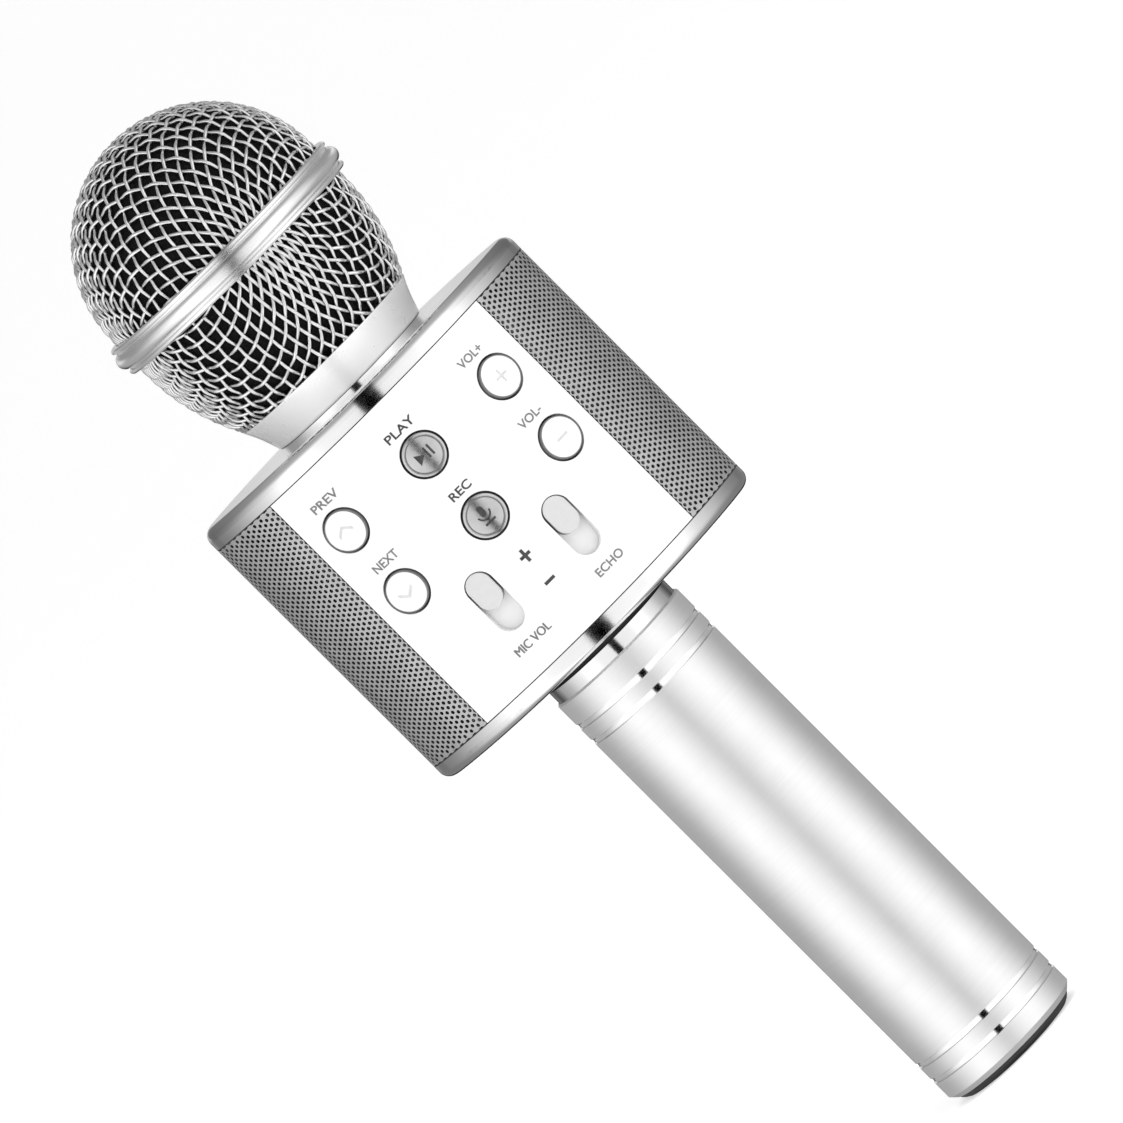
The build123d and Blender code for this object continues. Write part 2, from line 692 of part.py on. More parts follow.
def power_switch_body():
    """Slide switch on the port board, slit for its lever."""
    body = block(4.0, 9.0, PORT_BOARD_Y, SWITCH_BODY_Y) - block(1.9, 5.6, 17.0, SWITCH_BODY_Y + 1)
    return on_back(POWER_SWITCH_Z, body)


def power_switch_knob():
    """Ribbed switch cap with the cover that hides its slot, at the lower end of its travel."""
    cover_y, cover_top_y, top_y = 22.0, 22.7, BODY_HALF_DEPTH + KEY_PROUD
    pad = stadium(SWITCH_SLOT_LENGTH - POWER_SWITCH_TRAVEL - 0.3, SWITCH_SLOT_WIDTH - 0.4, cover_y, top_y)
    rib_gap = block(4, 0.4, top_y - 0.35, top_y + 1)
    knob = pad - [Pos(0, step, 0) * rib_gap for step in (-1.0, 0.0, 1.0)]
    knob = knob + block(4.8, 11.4, cover_y, cover_top_y) + block(1.5, 2.0, 17.6, cover_y)
    return on_back(POWER_SWITCH_Z - POWER_SWITCH_TRAVEL / 2, knob)


def speaker_leads():
    """A wire from each loudspeaker's tag to the main board."""
    wires = []
    for side in (-1, 1):
        tag, end = 19.5 * side, 9.5 * side
        route = [(tag, 0, 150.95), (tag, 0, 155), (end, -4, 157), (end, MAIN_BOARD_Y, 157)]
        wires.append(lead(route, (2, 2), 1.0))
    return Compound(wires)


def battery_lead(x, start_z):
    """A wire from the battery bay up through the neck to the connector on the main board."""
    end_x, end_y, end_z = x - 4.5, MAIN_BOARD_Y + 3.5, 122.5
    route = [(x, 0, start_z), (x, 0, 105), (end_x, -1, end_z), (end_x, end_y, end_z)]
    return lead(route, (12, 1.6), 1.2)


# ---- handle -------------------------------------------------------------------------------
def handle_neck_ring():
    """Plated spacer ring between the housing and the handle, with a shadow gap at its top."""
    inner = NECK_RADIUS + 0.05
    gap_z = BODY_BOTTOM_Z - NECK_GAP_HEIGHT
    wide = ring(NECK_RING_RADIUS, inner, HANDLE_TOP_Z, gap_z)
    return wide + ring(NECK_GAP_RADIUS, inner, gap_z, BODY_BOTTOM_Z)


def handle_coupling():
    """Moulded tube that joins the handle to the housing."""
    plug = disc(HANDLE_BORE_RADIUS - 0.05, SLEEVE_TOP_Z, HANDLE_TOP_Z)
    neck = disc(NECK_RADIUS, HANDLE_TOP_Z, COUPLING_TOP_Z)
    return plug + neck - disc(9.6, SLEEVE_TOP_Z - 1, COUPLING_TOP_Z + 1)


def coupling_nut():
    """Ring nut that clamps the coupling to the chassis."""
    return ring(15.0, NECK_RADIUS + 0.05, PANEL_BOTTOM_Z + DECK_THICKNESS, COUPLING_TOP_Z)


def handle_tube():
    """Anodised aluminium tube with four turned grooves and a threaded lower mouth."""
    lip = HANDLE_BOTTOM_Z + GASKET_THICKNESS
    thread_top = HANDLE_THREAD_TOP_Z
    chamfer_size = 1.1
    tube = turned(
        *outline(
            (HANDLE_BORE_RADIUS, HANDLE_BOTTOM_Z),
            (HANDLE_RADIUS - chamfer_size, HANDLE_BOTTOM_Z),
            (HANDLE_RADIUS, HANDLE_BOTTOM_Z + chamfer_size),
            (HANDLE_RADIUS, HANDLE_TOP_Z - 0.4),
            (HANDLE_RADIUS - 0.4, HANDLE_TOP_Z),
            (HANDLE_BORE_RADIUS, HANDLE_TOP_Z),
            (HANDLE_BORE_RADIUS, thread_top),
            (END_PLUG_RADIUS + THREAD_CLEARANCE, thread_top),
            (END_PLUG_RADIUS + THREAD_CLEARANCE, lip),
            (HANDLE_BORE_RADIUS, lip),
            (HANDLE_BORE_RADIUS, HANDLE_BOTTOM_Z),
        )
    )
    floor_half = GROOVE_WIDTH / 2 - GROOVE_DEPTH
    for z in HANDLE_GROOVES_Z:
        tube -= turned(
            *outline(
                (HANDLE_RADIUS, z - GROOVE_WIDTH / 2),
                (HANDLE_RADIUS + 1, z - GROOVE_WIDTH / 2),
                (HANDLE_RADIUS + 1, z + GROOVE_WIDTH / 2),
                (HANDLE_RADIUS, z + GROOVE_WIDTH / 2),
                (HANDLE_RADIUS - GROOVE_DEPTH, z + floor_half),
                (HANDLE_RADIUS - GROOVE_DEPTH, z - floor_half),
                (HANDLE_RADIUS, z - GROOVE_WIDTH / 2),
            )
        )
    return tube


def battery_sleeve():
    """Insulating sleeve around the cell, with a roof over its contact."""
    sleeve = disc(HANDLE_BORE_RADIUS - 0.05, 12.0, SLEEVE_TOP_Z)
    return sleeve - disc(CELL_RADIUS + 0.2, 11.0, CELL_TOP_Z + 2) - disc(5.0, 80.0, SLEEVE_TOP_Z + 1)


def battery_cell():
    """Cylindrical lithium cell with its raised positive pole."""
    can = disc(CELL_RADIUS, CELL_BOTTOM_Z, CELL_TOP_Z - 0.8)
    can = fillet(can.edges(), 0.6)
    return can + disc(3.2, CELL_TOP_Z - 1.0, CELL_TOP_Z)


def battery_contact():
    """Contact plate above the cell."""
    return disc(8.8, CELL_TOP_Z, CELL_TOP_Z + 0.8) + block(4.4, 1.6, CELL_TOP_Z + 0.8, CELL_TOP_Z + 1.4)


def battery_spring():
    """Conical contact spring between the end cap and the cell."""
    wire, low, high = 0.8, 3.4, CELL_BOTTOM_Z - 0.5
    turns = 4
    path = Helix(pitch=(high - low) / turns, height=high - low, radius=6.5, cone_angle=-14)
    path = Pos(0, 0, low) * path
    section = Plane(origin=path @ 0, z_dir=path % 0) * Circle(wire / 2)
    return sweep(section, path, is_frenet=True)


def end_cap():
    """Black screw plug that closes the handle; the microphone stands on its flat foot."""
    foot_radius, rim_radius, wall, cup_floor, top = 11.5, 13.9, 2.32, 3.0, 8.5
    return turned(
        Line((0, 0), (foot_radius, 0)),
        ThreePointArc((foot_radius, 0), (13.2, 0.62), (rim_radius, HANDLE_BOTTOM_Z)),
        *outline(
            (rim_radius, HANDLE_BOTTOM_Z),
            (END_PLUG_RADIUS, HANDLE_BOTTOM_Z),
            (END_PLUG_RADIUS, top),
            (END_PLUG_RADIUS - wall, top),
            (END_PLUG_RADIUS - wall, cup_floor),
            (0, cup_floor),
            (0, 0),
        ),
    )


def end_cap_gasket():
    """Flat washer between the end cap and the handle, in a recess at the handle's mouth."""
    outer, inner = HANDLE_BORE_RADIUS - 0.1, END_PLUG_RADIUS + 0.1
    return ring(outer, inner, HANDLE_BOTTOM_Z, HANDLE_BOTTOM_Z + GASKET_THICKNESS)


# ---- every node ---------------------------------------------------------------------------
def all_nodes():
    """Node name to shape."""
    nodes = {
        "upper_grille": upper_grille(),
        "lower_grille": lower_grille(),
        "grille_band": grille_band(),
        "neck_collar": neck_collar(),
        "foam_liner": foam_liner(),
        "head_spigot": head_spigot(),
        "capsule_holder": capsule_holder(),
        "shock_mount": shock_mount(),
        "capsule_body": capsule_body(),
        "capsule_grid": capsule_grid(),
        "capsule_lead": capsule_lead(),
        "top_cap": top_cap(),
        "bottom_cap": bottom_cap(),
        "front_panel": front_panel(),
        "rear_panel": rear_panel(),
        "inner_frame": inner_frame(),
        "rear_screws": rear_screws(),
        "key_switches": key_switches(),
        "key_carrier": key_carrier(),
        "slider_tracks": slider_tracks(),
        "main_board": main_board(),
        "main_board_parts": main_board_parts(),
        "port_board": port_board(),
        "usb_socket": usb_socket(),
        "card_socket": card_socket(),
        "audio_jack": audio_jack(),
        "power_switch_body": power_switch_body(),
        "power_switch_knob": power_switch_knob(),
        "speaker_leads": speaker_leads(),
        "battery_lead_positive": battery_lead(1.2, CELL_TOP_Z + 1.4),
        "battery_lead_negative": battery_lead(-1.2, CELL_TOP_Z + 1.4),
        "handle_neck_ring": handle_neck_ring(),
        "handle_coupling": handle_coupling(),
        "coupling_nut": coupling_nut(),
        "handle_tube": handle_tube(),
        "battery_sleeve": battery_sleeve(),
        "battery_cell": battery_cell(),
        "battery_contact": battery_contact(),
        "battery_spring": battery_spring(),
        "end_cap": end_cap(),
        "end_cap_gasket": end_cap_gasket(),
    }
    for side, word in ((-1, "left"), (1, "right")):
        nodes[f"side_grille_{word}"] = side_grilles(side)
        nodes[f"speaker_basket_{word}"] = speaker_basket(side)
        nodes[f"speaker_magnet_{word}"] = speaker_magnet(side)
        nodes[f"speaker_cone_{word}"] = speaker_cone(side)
        nodes[f"speaker_surround_{word}"] = speaker_surround(side)
    for name, (x, z) in KEYS.items():
        nodes[name] = on_face(x, z, key_cap())
    for name, x in SLIDERS.items():
        nodes[name] = on_face(x, slider_rest_z(), slider_knob())
    return nodes


os.makedirs("parts", exist_ok=True)
for name, shape in all_nodes().items():
    export_step(shape, f"parts/{name}.step")
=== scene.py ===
"""Looks for the karaoke microphone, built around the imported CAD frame. All lengths are in metres."""

import math

import bmesh
import bpy
import numpy as np
from mathutils import Matrix, Vector, noise


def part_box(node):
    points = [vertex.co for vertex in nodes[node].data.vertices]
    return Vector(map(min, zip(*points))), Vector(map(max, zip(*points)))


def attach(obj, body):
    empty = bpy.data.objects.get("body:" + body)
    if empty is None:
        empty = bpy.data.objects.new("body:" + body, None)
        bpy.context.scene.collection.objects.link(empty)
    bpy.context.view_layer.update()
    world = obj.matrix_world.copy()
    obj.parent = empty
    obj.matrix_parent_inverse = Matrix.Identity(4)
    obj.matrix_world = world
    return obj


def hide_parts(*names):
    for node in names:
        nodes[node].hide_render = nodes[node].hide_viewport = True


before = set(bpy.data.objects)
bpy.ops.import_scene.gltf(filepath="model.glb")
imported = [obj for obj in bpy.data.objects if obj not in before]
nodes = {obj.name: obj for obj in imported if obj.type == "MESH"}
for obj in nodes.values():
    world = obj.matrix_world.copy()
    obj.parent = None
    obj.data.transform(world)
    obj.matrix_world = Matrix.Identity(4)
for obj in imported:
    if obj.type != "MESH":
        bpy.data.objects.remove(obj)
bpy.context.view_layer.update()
MM = 0.001

# ---- places and sizes, from the frame where the frame has them ------------------------------
AXIS_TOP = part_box("upper_grille")[1].z
BALL_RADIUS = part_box("upper_grille")[1].x
BALL_CENTRE_Z = AXIS_TOP - BALL_RADIUS
BAND_LOW_Z, BAND_HIGH_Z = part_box("grille_band")[0].z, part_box("grille_band")[1].z
BAND_CENTRE_Z = (BAND_LOW_Z + BAND_HIGH_Z) / 2
COLLAR_LOW_Z, COLLAR_TOP_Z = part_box("neck_collar")[0].z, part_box("neck_collar")[1].z
PANEL_LOW_Z, PANEL_HIGH_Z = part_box("front_panel")[0].z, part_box("front_panel")[1].z
BODY_HALF_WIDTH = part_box("side_grille_right")[1].x
BODY_HALF_DEPTH = -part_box("front_panel")[0].y
BODY_LOW_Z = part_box("bottom_cap")[0].z
END_RADIUS = 10 * MM
FACE_RADIUS = ((BODY_HALF_WIDTH - END_RADIUS) ** 2 + BODY_HALF_DEPTH**2 - END_RADIUS**2) / (
    2 * (BODY_HALF_DEPTH - END_RADIUS)
)
FACE_CENTRE_Y = FACE_RADIUS - BODY_HALF_DEPTH
HANDLE_LOW_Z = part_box("handle_tube")[0].z
WIRE_RADIUS = 0.34 * MM
MESH_PITCH = 2.7 * MM
MESH_TURN = math.radians(-121)
BOWL_ARC_RADIUS = 42 * MM
BOWL_ARC_Z = 200 * MM
KEY_COLUMN_X = 19.7 * MM
KEY_UPPER_Z, KEY_LOWER_Z = 155.6 * MM, 140.0 * MM
KEYS = {
    "previous": (-KEY_COLUMN_X, KEY_UPPER_Z),
    "next": (-KEY_COLUMN_X, KEY_LOWER_Z),
    "play": (0.0, KEY_UPPER_Z),
    "record": (0.0, KEY_LOWER_Z),
    "volume_up": (KEY_COLUMN_X, KEY_UPPER_Z),
    "volume_down": (KEY_COLUMN_X, KEY_LOWER_Z),
}
PLATED_KEYS = ("play", "record")
KEY_RADIUS = 4.08
KEY_PROUD = 0.6
KEY_CROWN_RADIUS = 3.42
SPEAKER_Z = 140.15 * MM
HANDLE_GROOVES_Z = (6.9 * MM, 10.8 * MM, 95.0 * MM, 98.8 * MM)
# Low edge of the painted shadow band on the neck ring, under the housing.
NECK_SHADOW_LOW_Z = BODY_LOW_Z - 1.6 * MM


# ---- node materials -------------------------------------------------------------------------
class Nodes:
    """Builds one material's node tree in a few short calls."""

    def __init__(self, name):
        self.material = bpy.data.materials.new(name)
        self.material.use_nodes = True
        self.tree = self.material.node_tree
        self.shader = self.tree.nodes["Principled BSDF"]
        self.coordinates = self.add("ShaderNodeTexCoord").outputs["Object"]

    def add(self, kind, **settings):
        node = self.tree.nodes.new(kind)
        for key, value in settings.items():
            setattr(node, key, value)
        return node

    def link(self, source, target):
        self.tree.links.new(source, target)

    def put(self, target, value):
        """Links an output, or sets a plain value."""
        if isinstance(value, bpy.types.NodeSocket):
            self.link(value, target)
        else:
            target.default_value = value

    def math(self, operation, *values):
        node = self.add("ShaderNodeMath", operation=operation)
        for socket, value in zip(node.inputs, values):
            self.put(socket, value)
        return node.outputs[0]

    def axis(self, letter):
        split = self.add("ShaderNodeSeparateXYZ")
        self.link(self.coordinates, split.inputs[0])
        return split.outputs[letter]

    def stretched(self, factors):
        """The coordinates scaled by a different factor on each axis."""
        mapping = self.add("ShaderNodeMapping")
        mapping.inputs["Scale"].default_value = factors
        self.link(self.coordinates, mapping.inputs["Vector"])
        return mapping.outputs[0]

    def noise(self, scale, detail=3.0, vector=None):
        node = self.add("ShaderNodeTexNoise")
        node.inputs["Scale"].default_value = scale
        node.inputs["Detail"].default_value = detail
        self.link(vector or self.coordinates, node.inputs["Vector"])
        return node.outputs["Fac"]

    def remap(self, value, low, high, new_low, new_high):
        node = self.add("ShaderNodeMapRange")
        self.put(node.inputs["Value"], value)
        for key, number in zip(("From Min", "From Max", "To Min", "To Max"), (low, high, new_low, new_high)):
            node.inputs[key].default_value = number
        return node.outputs[0]

    def mix(self, factor, a, b):
        node = self.add("ShaderNodeMix", data_type="RGBA")
        self.put(node.inputs["Factor"], factor)
        self.put(node.inputs[6], rgba(a))
        self.put(node.inputs[7], rgba(b))
        return node.outputs[2]

    def bump(self, height, strength, distance):
        node = self.add("ShaderNodeBump")
        node.inputs["Strength"].default_value = strength
        node.inputs["Distance"].default_value = distance
        self.link(height, node.inputs["Height"])
        self.link(node.outputs[0], self.shader.inputs["Normal"])


def rgba(value):
    """A grey level or an RGB triple as a colour; node outputs pass through."""
    if isinstance(value, bpy.types.NodeSocket):
        return value
    if isinstance(value, (int, float)):
        value = (value, value, value)
    return (*value, 1.0)


def surface(name, dark, light, rough, metal=0.0, blotch=60, grain=3000, bump=0.1, depth=0.02, **fixed):
    """A material with soft colour blotches, uneven gloss and a fine grain.

    dark and light are the colour's two ends, rough the roughness range, blotch and grain the
    pattern sizes per metre, and depth the grain's height in millimetres."""
    n = Nodes(name)
    patches = n.noise(blotch, 4)
    n.put(n.shader.inputs["Base Color"], n.mix(n.remap(patches, 0.3, 0.7, 0, 1), dark, light))
    n.put(n.shader.inputs["Roughness"], n.remap(n.noise(blotch * 3, 5), 0.3, 0.7, *rough))
    n.shader.inputs["Metallic"].default_value = metal
    for key, value in fixed.items():
        n.shader.inputs[key.replace("_", " ")].default_value = value
    n.bump(n.noise(grain, 2), bump, depth * MM)
    return n.material


def paint(material, *names):
    """Gives CAD nodes, or made pieces, one material."""
    for name in names:
        thing = nodes.get(name) or bpy.data.objects[name]
        thing.data.materials.clear()
        thing.data.materials.append(material)


# ---- mesh helpers ---------------------------------------------------------------------------
def make_piece(name, verts, faces, body, material, smooth=True, replaces=()):
    """A mesh object that rides on a body, may have a material slot and may stand for CAD nodes."""
    mesh = bpy.data.meshes.new(name)
    mesh.from_pydata([tuple(v) for v in verts], [], [tuple(f) for f in faces])
    mesh.validate()
    mesh.update()
    piece = bpy.data.objects.new(name, mesh)
    bpy.context.scene.collection.objects.link(piece)
    mesh.polygons.foreach_set("use_smooth", [smooth] * len(mesh.polygons))
    mesh.materials.append(material)
    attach(piece, body)
    if replaces:
        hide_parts(*replaces)
    return piece


def smooth_by_angle(piece, degrees=35):
    """Keeps edges sharper than the angle sharp, and smooths the rest."""
    mesh = piece.data
    bm = bmesh.new()
    bm.from_mesh(mesh)
    limit = math.radians(degrees)
    for edge in bm.edges:
        edge.smooth = len(edge.link_faces) == 2 and edge.calc_face_angle(0) < limit
    bm.to_mesh(mesh)
    bm.free()


def lathe(points, segments, shape=None):
    """Surface of revolution about Z from (radius, height) points, which run up the outside.

    shape, if given, turns (radius, height, angle) into the radius to use there."""
    verts, rows, faces = [], [], []
    for r, z in points:
        if r < 1e-9:
            rows.append([len(verts)] * segments)
            verts.append((0.0, 0.0, z))
            continue
        rows.append([len(verts) + k for k in range(segments)])
        for k in range(segments):
            turn = 2 * math.pi * k / segments
            reach = shape(r, z, turn) if shape else r
            verts.append((reach * math.cos(turn), reach * math.sin(turn), z))
    pairs = list(zip(rows, rows[1:]))
    if points[0][0] > 1e-9:
        pairs.append((rows[-1], rows[0]))
    for low, high in pairs:
        for k in range(segments):
            after = (k + 1) % segments
            corners = list(dict.fromkeys((low[k], low[after], high[after], high[k])))
            if len(corners) > 2:
                faces.append(corners)
    return verts, faces


def slab(corners, low, high):
    """A flat plate between two heights, from the corners of its outline in counter-clockwise order."""
    count = len(corners)
    verts = [(x, y, low) for x, y in corners] + [(x, y, high) for x, y in corners]
    faces = [tuple(reversed(range(count))), tuple(range(count, 2 * count))]
    faces += [(k, (k + 1) % count, (k + 1) % count + count, k + count) for k in range(count)]
    return verts, faces


def joined(parts):
    """Several (verts, faces) as one."""
    verts, faces = [], []
    for part_verts, part_faces in parts:
        start = len(verts)
        verts += part_verts
        faces += [tuple(start + i for i in face) for face in part_faces]
    return verts, faces


def face_frame(x, z, side=-1):
    """Axes across, up and out of the housing's curved front (-1) or back (+1) at a place on it."""
    turn = math.asin(x / FACE_RADIUS)
    across = Vector((-side * math.cos(turn), math.sin(turn), 0))
    out = Vector((math.sin(turn), side * math.cos(turn), 0))
    place = Matrix((across, out.cross(across), out)).transposed().to_4x4()
    place.translation = (x, side * (FACE_RADIUS * math.cos(turn) - FACE_CENTRE_Y), z)
    return place


def on_panel(across, height, lift, side=-1):
    """Place on the curved front or back: across along its arc as its viewer sees it, lift out of it."""
    turn = -side * across / FACE_RADIUS
    reach = FACE_RADIUS + lift
    return (reach * math.sin(turn), side * (reach * math.cos(turn) - FACE_CENTRE_Y), height)


# ---- woven wire grilles ---------------------------------------------------------------------
class Profile:
    """A surface of revolution: radius and height by arc length from its pole."""

    def __init__(self, points):
        self.r = np.array([p[0] for p in points])
        self.z = np.array([p[1] for p in points])
        steps = np.hypot(np.diff(self.r), np.diff(self.z))
        self.s = np.concatenate([[0], np.cumsum(steps)])

    def at(self, s, turn):
        r = np.interp(s, self.s, self.r)
        return np.array([r * math.cos(turn), r * math.sin(turn), np.interp(s, self.s, self.z)])

    def nearest(self, points):
        """Surface points, outward normals and arc lengths nearest to the given points."""
        radius = np.maximum(np.hypot(points[:, 0], points[:, 1]), 1e-9)
        gap = (radius[:, None] - self.r[None]) ** 2 + (points[:, 2][:, None] - self.z[None]) ** 2
        s = self.s[gap.argmin(1)]
        step = self.s[1]
        r1, z1 = np.interp(s - step, self.s, self.r), np.interp(s - step, self.s, self.z)
        r2, z2 = np.interp(s + step, self.s, self.r), np.interp(s + step, self.s, self.z)
        dr, dz = r2 - r1, z2 - z1
        length = np.maximum(np.hypot(dr, dz), 1e-12)
        t = np.clip(((radius - r1) * dr + (points[:, 2] - z1) * dz) / length**2, 0, 1)
        r, z = r1 + t * dr, z1 + t * dz
        out = np.stack([points[:, 0] / radius, points[:, 1] / radius], 1)
        sign = np.where(points[:, 2] * 0 + self.z[0] > self.z[-1], 1.0, -1.0)
        normal = np.stack([-dz / length * sign, dr / length * sign], 1)
        normal *= np.sign(normal[:, :1] + 1e-9)
        place = np.stack([out[:, 0] * r, out[:, 1] * r, z], 1)
        normals = np.stack([out[:, 0] * normal[:, 0], out[:, 1] * normal[:, 0], normal[:, 1]], 1)
        return place, normals, np.clip(s - step + 2 * step * t, 0, self.s[-1])


def net_quadrant(profile, pitch, count):
    """Crossings of one quarter of a square-meshed cloth laid over the surface.

    Every wire keeps its length between crossings and shears like real woven cloth, so each
    crossing is one pitch from its two neighbours nearer the pole."""
    quadrant = {(0, 0): (0.0, 0.0)}
    for i in range(1, count + 1):
        quadrant[i, 0] = (i * pitch, 0.0)
        quadrant[0, i] = (i * pitch, math.pi / 2)
    limit = profile.s[-1]
    for total in range(2, 2 * count + 1):
        for i in range(1, total):
            j = total - i
            if (i - 1, j) not in quadrant or (i, j - 1) not in quadrant or i > count or j > count:
                continue
            a, b = profile.at(*quadrant[i - 1, j]), profile.at(*quadrant[i, j - 1])
            c = profile.at(*quadrant[i - 1, j - 1])
            guess, _, s = profile.nearest((a + b - c)[None])
            s, turn = float(s[0]), math.atan2(guess[0, 1], guess[0, 0])
            for _ in range(12):
                p = profile.at(s, turn)
                wrong = np.array([np.linalg.norm(p - a) - pitch, np.linalg.norm(p - b) - pitch])
                if abs(wrong).max() < 1e-8:
                    break
                ds, dt = 1e-6, 1e-5
                ps, pt = profile.at(s + ds, turn), profile.at(s, turn + dt)
                slope = np.array(
                    [
                        [(np.linalg.norm(ps - q) - np.linalg.norm(p - q)) / ds for q in (a, b)],
                        [(np.linalg.norm(pt - q) - np.linalg.norm(p - q)) / dt for q in (a, b)],
                    ]
                ).T
                step = np.linalg.lstsq(slope, -wrong, rcond=None)[0]
                s += float(np.clip(step[0], -pitch, pitch))
                turn += float(np.clip(step[1], -0.2, 0.2))
            if s < limit - 1e-6:
                quadrant[i, j] = (s, turn)
    return quadrant


def wire_tube(path, normals, radius, sides, verts, faces):
    """Adds a round closed tube along a path to the two lists."""
    tangent = np.gradient(path, axis=0)
    tangent /= np.linalg.norm(tangent, axis=1)[:, None]
    across = np.cross(tangent, normals)
    across /= np.linalg.norm(across, axis=1)[:, None]
    up = np.cross(across, tangent)
    start = len(verts)
    for k in range(len(path)):
        for side in range(sides):
            turn = 2 * math.pi * side / sides
            verts.append(path[k] + radius * (math.cos(turn) * across[k] + math.sin(turn) * up[k]))
    for k in range(len(path) - 1):
        for side in range(sides):
            a = start + k * sides + side
            b = start + k * sides + (side + 1) % sides
            faces.append((a, b, b + sides, a + sides))
    last = start + (len(path) - 1) * sides
    faces.append(tuple(start + side for side in reversed(range(sides))))
    faces.append(tuple(last + side for side in range(sides)))


def woven_grille(name, profile, trim, material, node):
    """Woven wire cloth formed over a profile, trimmed to the heights that trim accepts."""
    count = int(profile.s[-1] / MESH_PITCH)
    quadrant = net_quadrant(profile, MESH_PITCH, count)

    def crossing(i, j):
        found = quadrant.get((abs(i), abs(j)))
        if found is None:
            return None
        x = math.copysign(1, i) * math.cos(found[1]) if i else 0.0
        y = math.copysign(1, j) * math.sin(found[1]) if j else 0.0
        return profile.at(found[0], math.atan2(y, x) + MESH_TURN)

    verts, faces = [], []
    fine = 4
    for family in (0, 1):
        for j in range(-count, count + 1):
            row = [(i, crossing(i, j) if family == 0 else crossing(j, i)) for i in range(-count, count + 1)]
            row = [(i, p) for i, p in row if p is not None]
            if len(row) < 2:
                continue
            places = np.array([p for _, p in row])
            first = row[0][0]
            t = np.arange(0, (len(row) - 1) * fine + 1) / fine
            k = np.minimum(t.astype(int), len(row) - 2)
            f = (t - k)[:, None]
            before, after = places[np.maximum(k - 1, 0)], places[np.minimum(k + 2, len(row) - 1)]
            a, b = places[k], places[k + 1]
            line = 0.5 * (
                2 * a
                + (b - before) * f
                + (2 * before - 5 * a + 4 * b - after) * f**2
                + (3 * a - before - 3 * b + after) * f**3
            )
            line, normals, _ = profile.nearest(line)
            side = (-1) ** (first + j + family)
            weave = side * np.cos(math.pi * t) * WIRE_RADIUS * 1.02
            line = line + normals * weave[:, None]
            keep = trim(line[:, 2])
            runs = np.flatnonzero(np.diff(np.concatenate([[0], keep.astype(int), [0]])))
            for start, end in zip(runs[::2], runs[1::2]):
                if end - start > 3:
                    wire_tube(line[start:end], normals[start:end], WIRE_RADIUS, 8, verts, faces)
    return make_piece(name, verts, faces, "grille_head", material, replaces=(node,))


def arc_points(centre, radius, start, end, count):
    """Points along an arc in the (radius, height) plane, angles from the outward direction."""
    return [
        (
            centre[0] + radius * math.cos(start + (end - start) * k / count),
            centre[1] + radius * math.sin(start + (end - start) * k / count),
        )
        for k in range(count + 1)
    ]


def dome_profile(inset):
    """The upper grille: quarter circle from the pole, then straight down into the band."""
    radius = BALL_RADIUS - inset
    points = arc_points((0, BALL_CENTRE_Z), radius, math.pi / 2, 0, 300)
    return points + [(radius, BALL_CENTRE_Z - k * 0.1 * MM) for k in range(1, 48)]


def bowl_profile(inset):
    """The lower grille, with the rounded bottom that its cloth had before it was cut open."""
    radius = BOWL_ARC_RADIUS - inset
    centre = (BALL_RADIUS - BOWL_ARC_RADIUS, BOWL_ARC_Z)
    end = -math.asin((BOWL_ARC_Z - COLLAR_TOP_Z) / radius)
    edge_r = centre[0] + radius * math.cos(end)
    ball = edge_r / math.cos(end)
    ball_z = COLLAR_TOP_Z - ball * math.sin(end)
    points = arc_points((0, ball_z), ball, -math.pi / 2, end, 240)
    points += arc_points(centre, radius, end, 0, 220)[1:]
    top = BALL_RADIUS - inset
    return points + [(top, BOWL_ARC_Z + k * 0.1 * MM) for k in range(1, 40)]


def make_grilles(material):
    """The two halves of the wire ball, cut off inside the band and inside the collar."""
    depth = 2 * WIRE_RADIUS
    tuck = 0.4 * MM
    woven_grille(
        "woven_wire_dome", Profile(dome_profile(depth)),
        lambda z: z > BAND_CENTRE_Z + tuck, material, "upper_grille",
    )
    woven_grille(
        "woven_wire_bowl", Profile(bowl_profile(depth)),
        lambda z: (z > COLLAR_TOP_Z - 0.6 * MM) & (z < BAND_CENTRE_Z - tuck), material, "lower_grille",
    )


# ---- foam, threads and keys -----------------------------------------------------------------
def make_foam(material):
    """Open-cell foam windscreen: a thick dome with a pitted skin, open below around the capsule."""
    outer = BALL_RADIUS - 1.35 * MM
    bore = 14 * MM
    low = COLLAR_TOP_Z + 1.1 * MM
    wall = BOWL_ARC_RADIUS - 1.35 * MM
    centre = BALL_RADIUS - BOWL_ARC_RADIUS
    middle = (0.0, BALL_CENTRE_Z)
    points = [(0.0, BALL_CENTRE_Z + bore)] + arc_points(middle, bore, math.pi / 2, 0, 24)[1:]
    points += [(bore, low)]
    points += arc_points((centre, BOWL_ARC_Z), wall, -math.asin((BOWL_ARC_Z - low) / wall), 0, 44)
    points += arc_points(middle, outer, 0, math.pi / 2, 86)[:-1] + [(0.0, BALL_CENTRE_Z + outer)]

    def pitted(r, z, turn):
        place = Vector((r * math.cos(turn), r * math.sin(turn), z)) / MM
        cells = noise.noise(place * 0.9) + 0.6 * noise.noise(place * 2.1)
        return r - 0.3 * MM * min(max(cells, 0.0), 1.0) if r > bore else r

    verts, faces = lathe(points, 260, pitted)
    foam = make_piece("foam_windscreen", verts, faces, "foam", material, replaces=("foam_liner",))


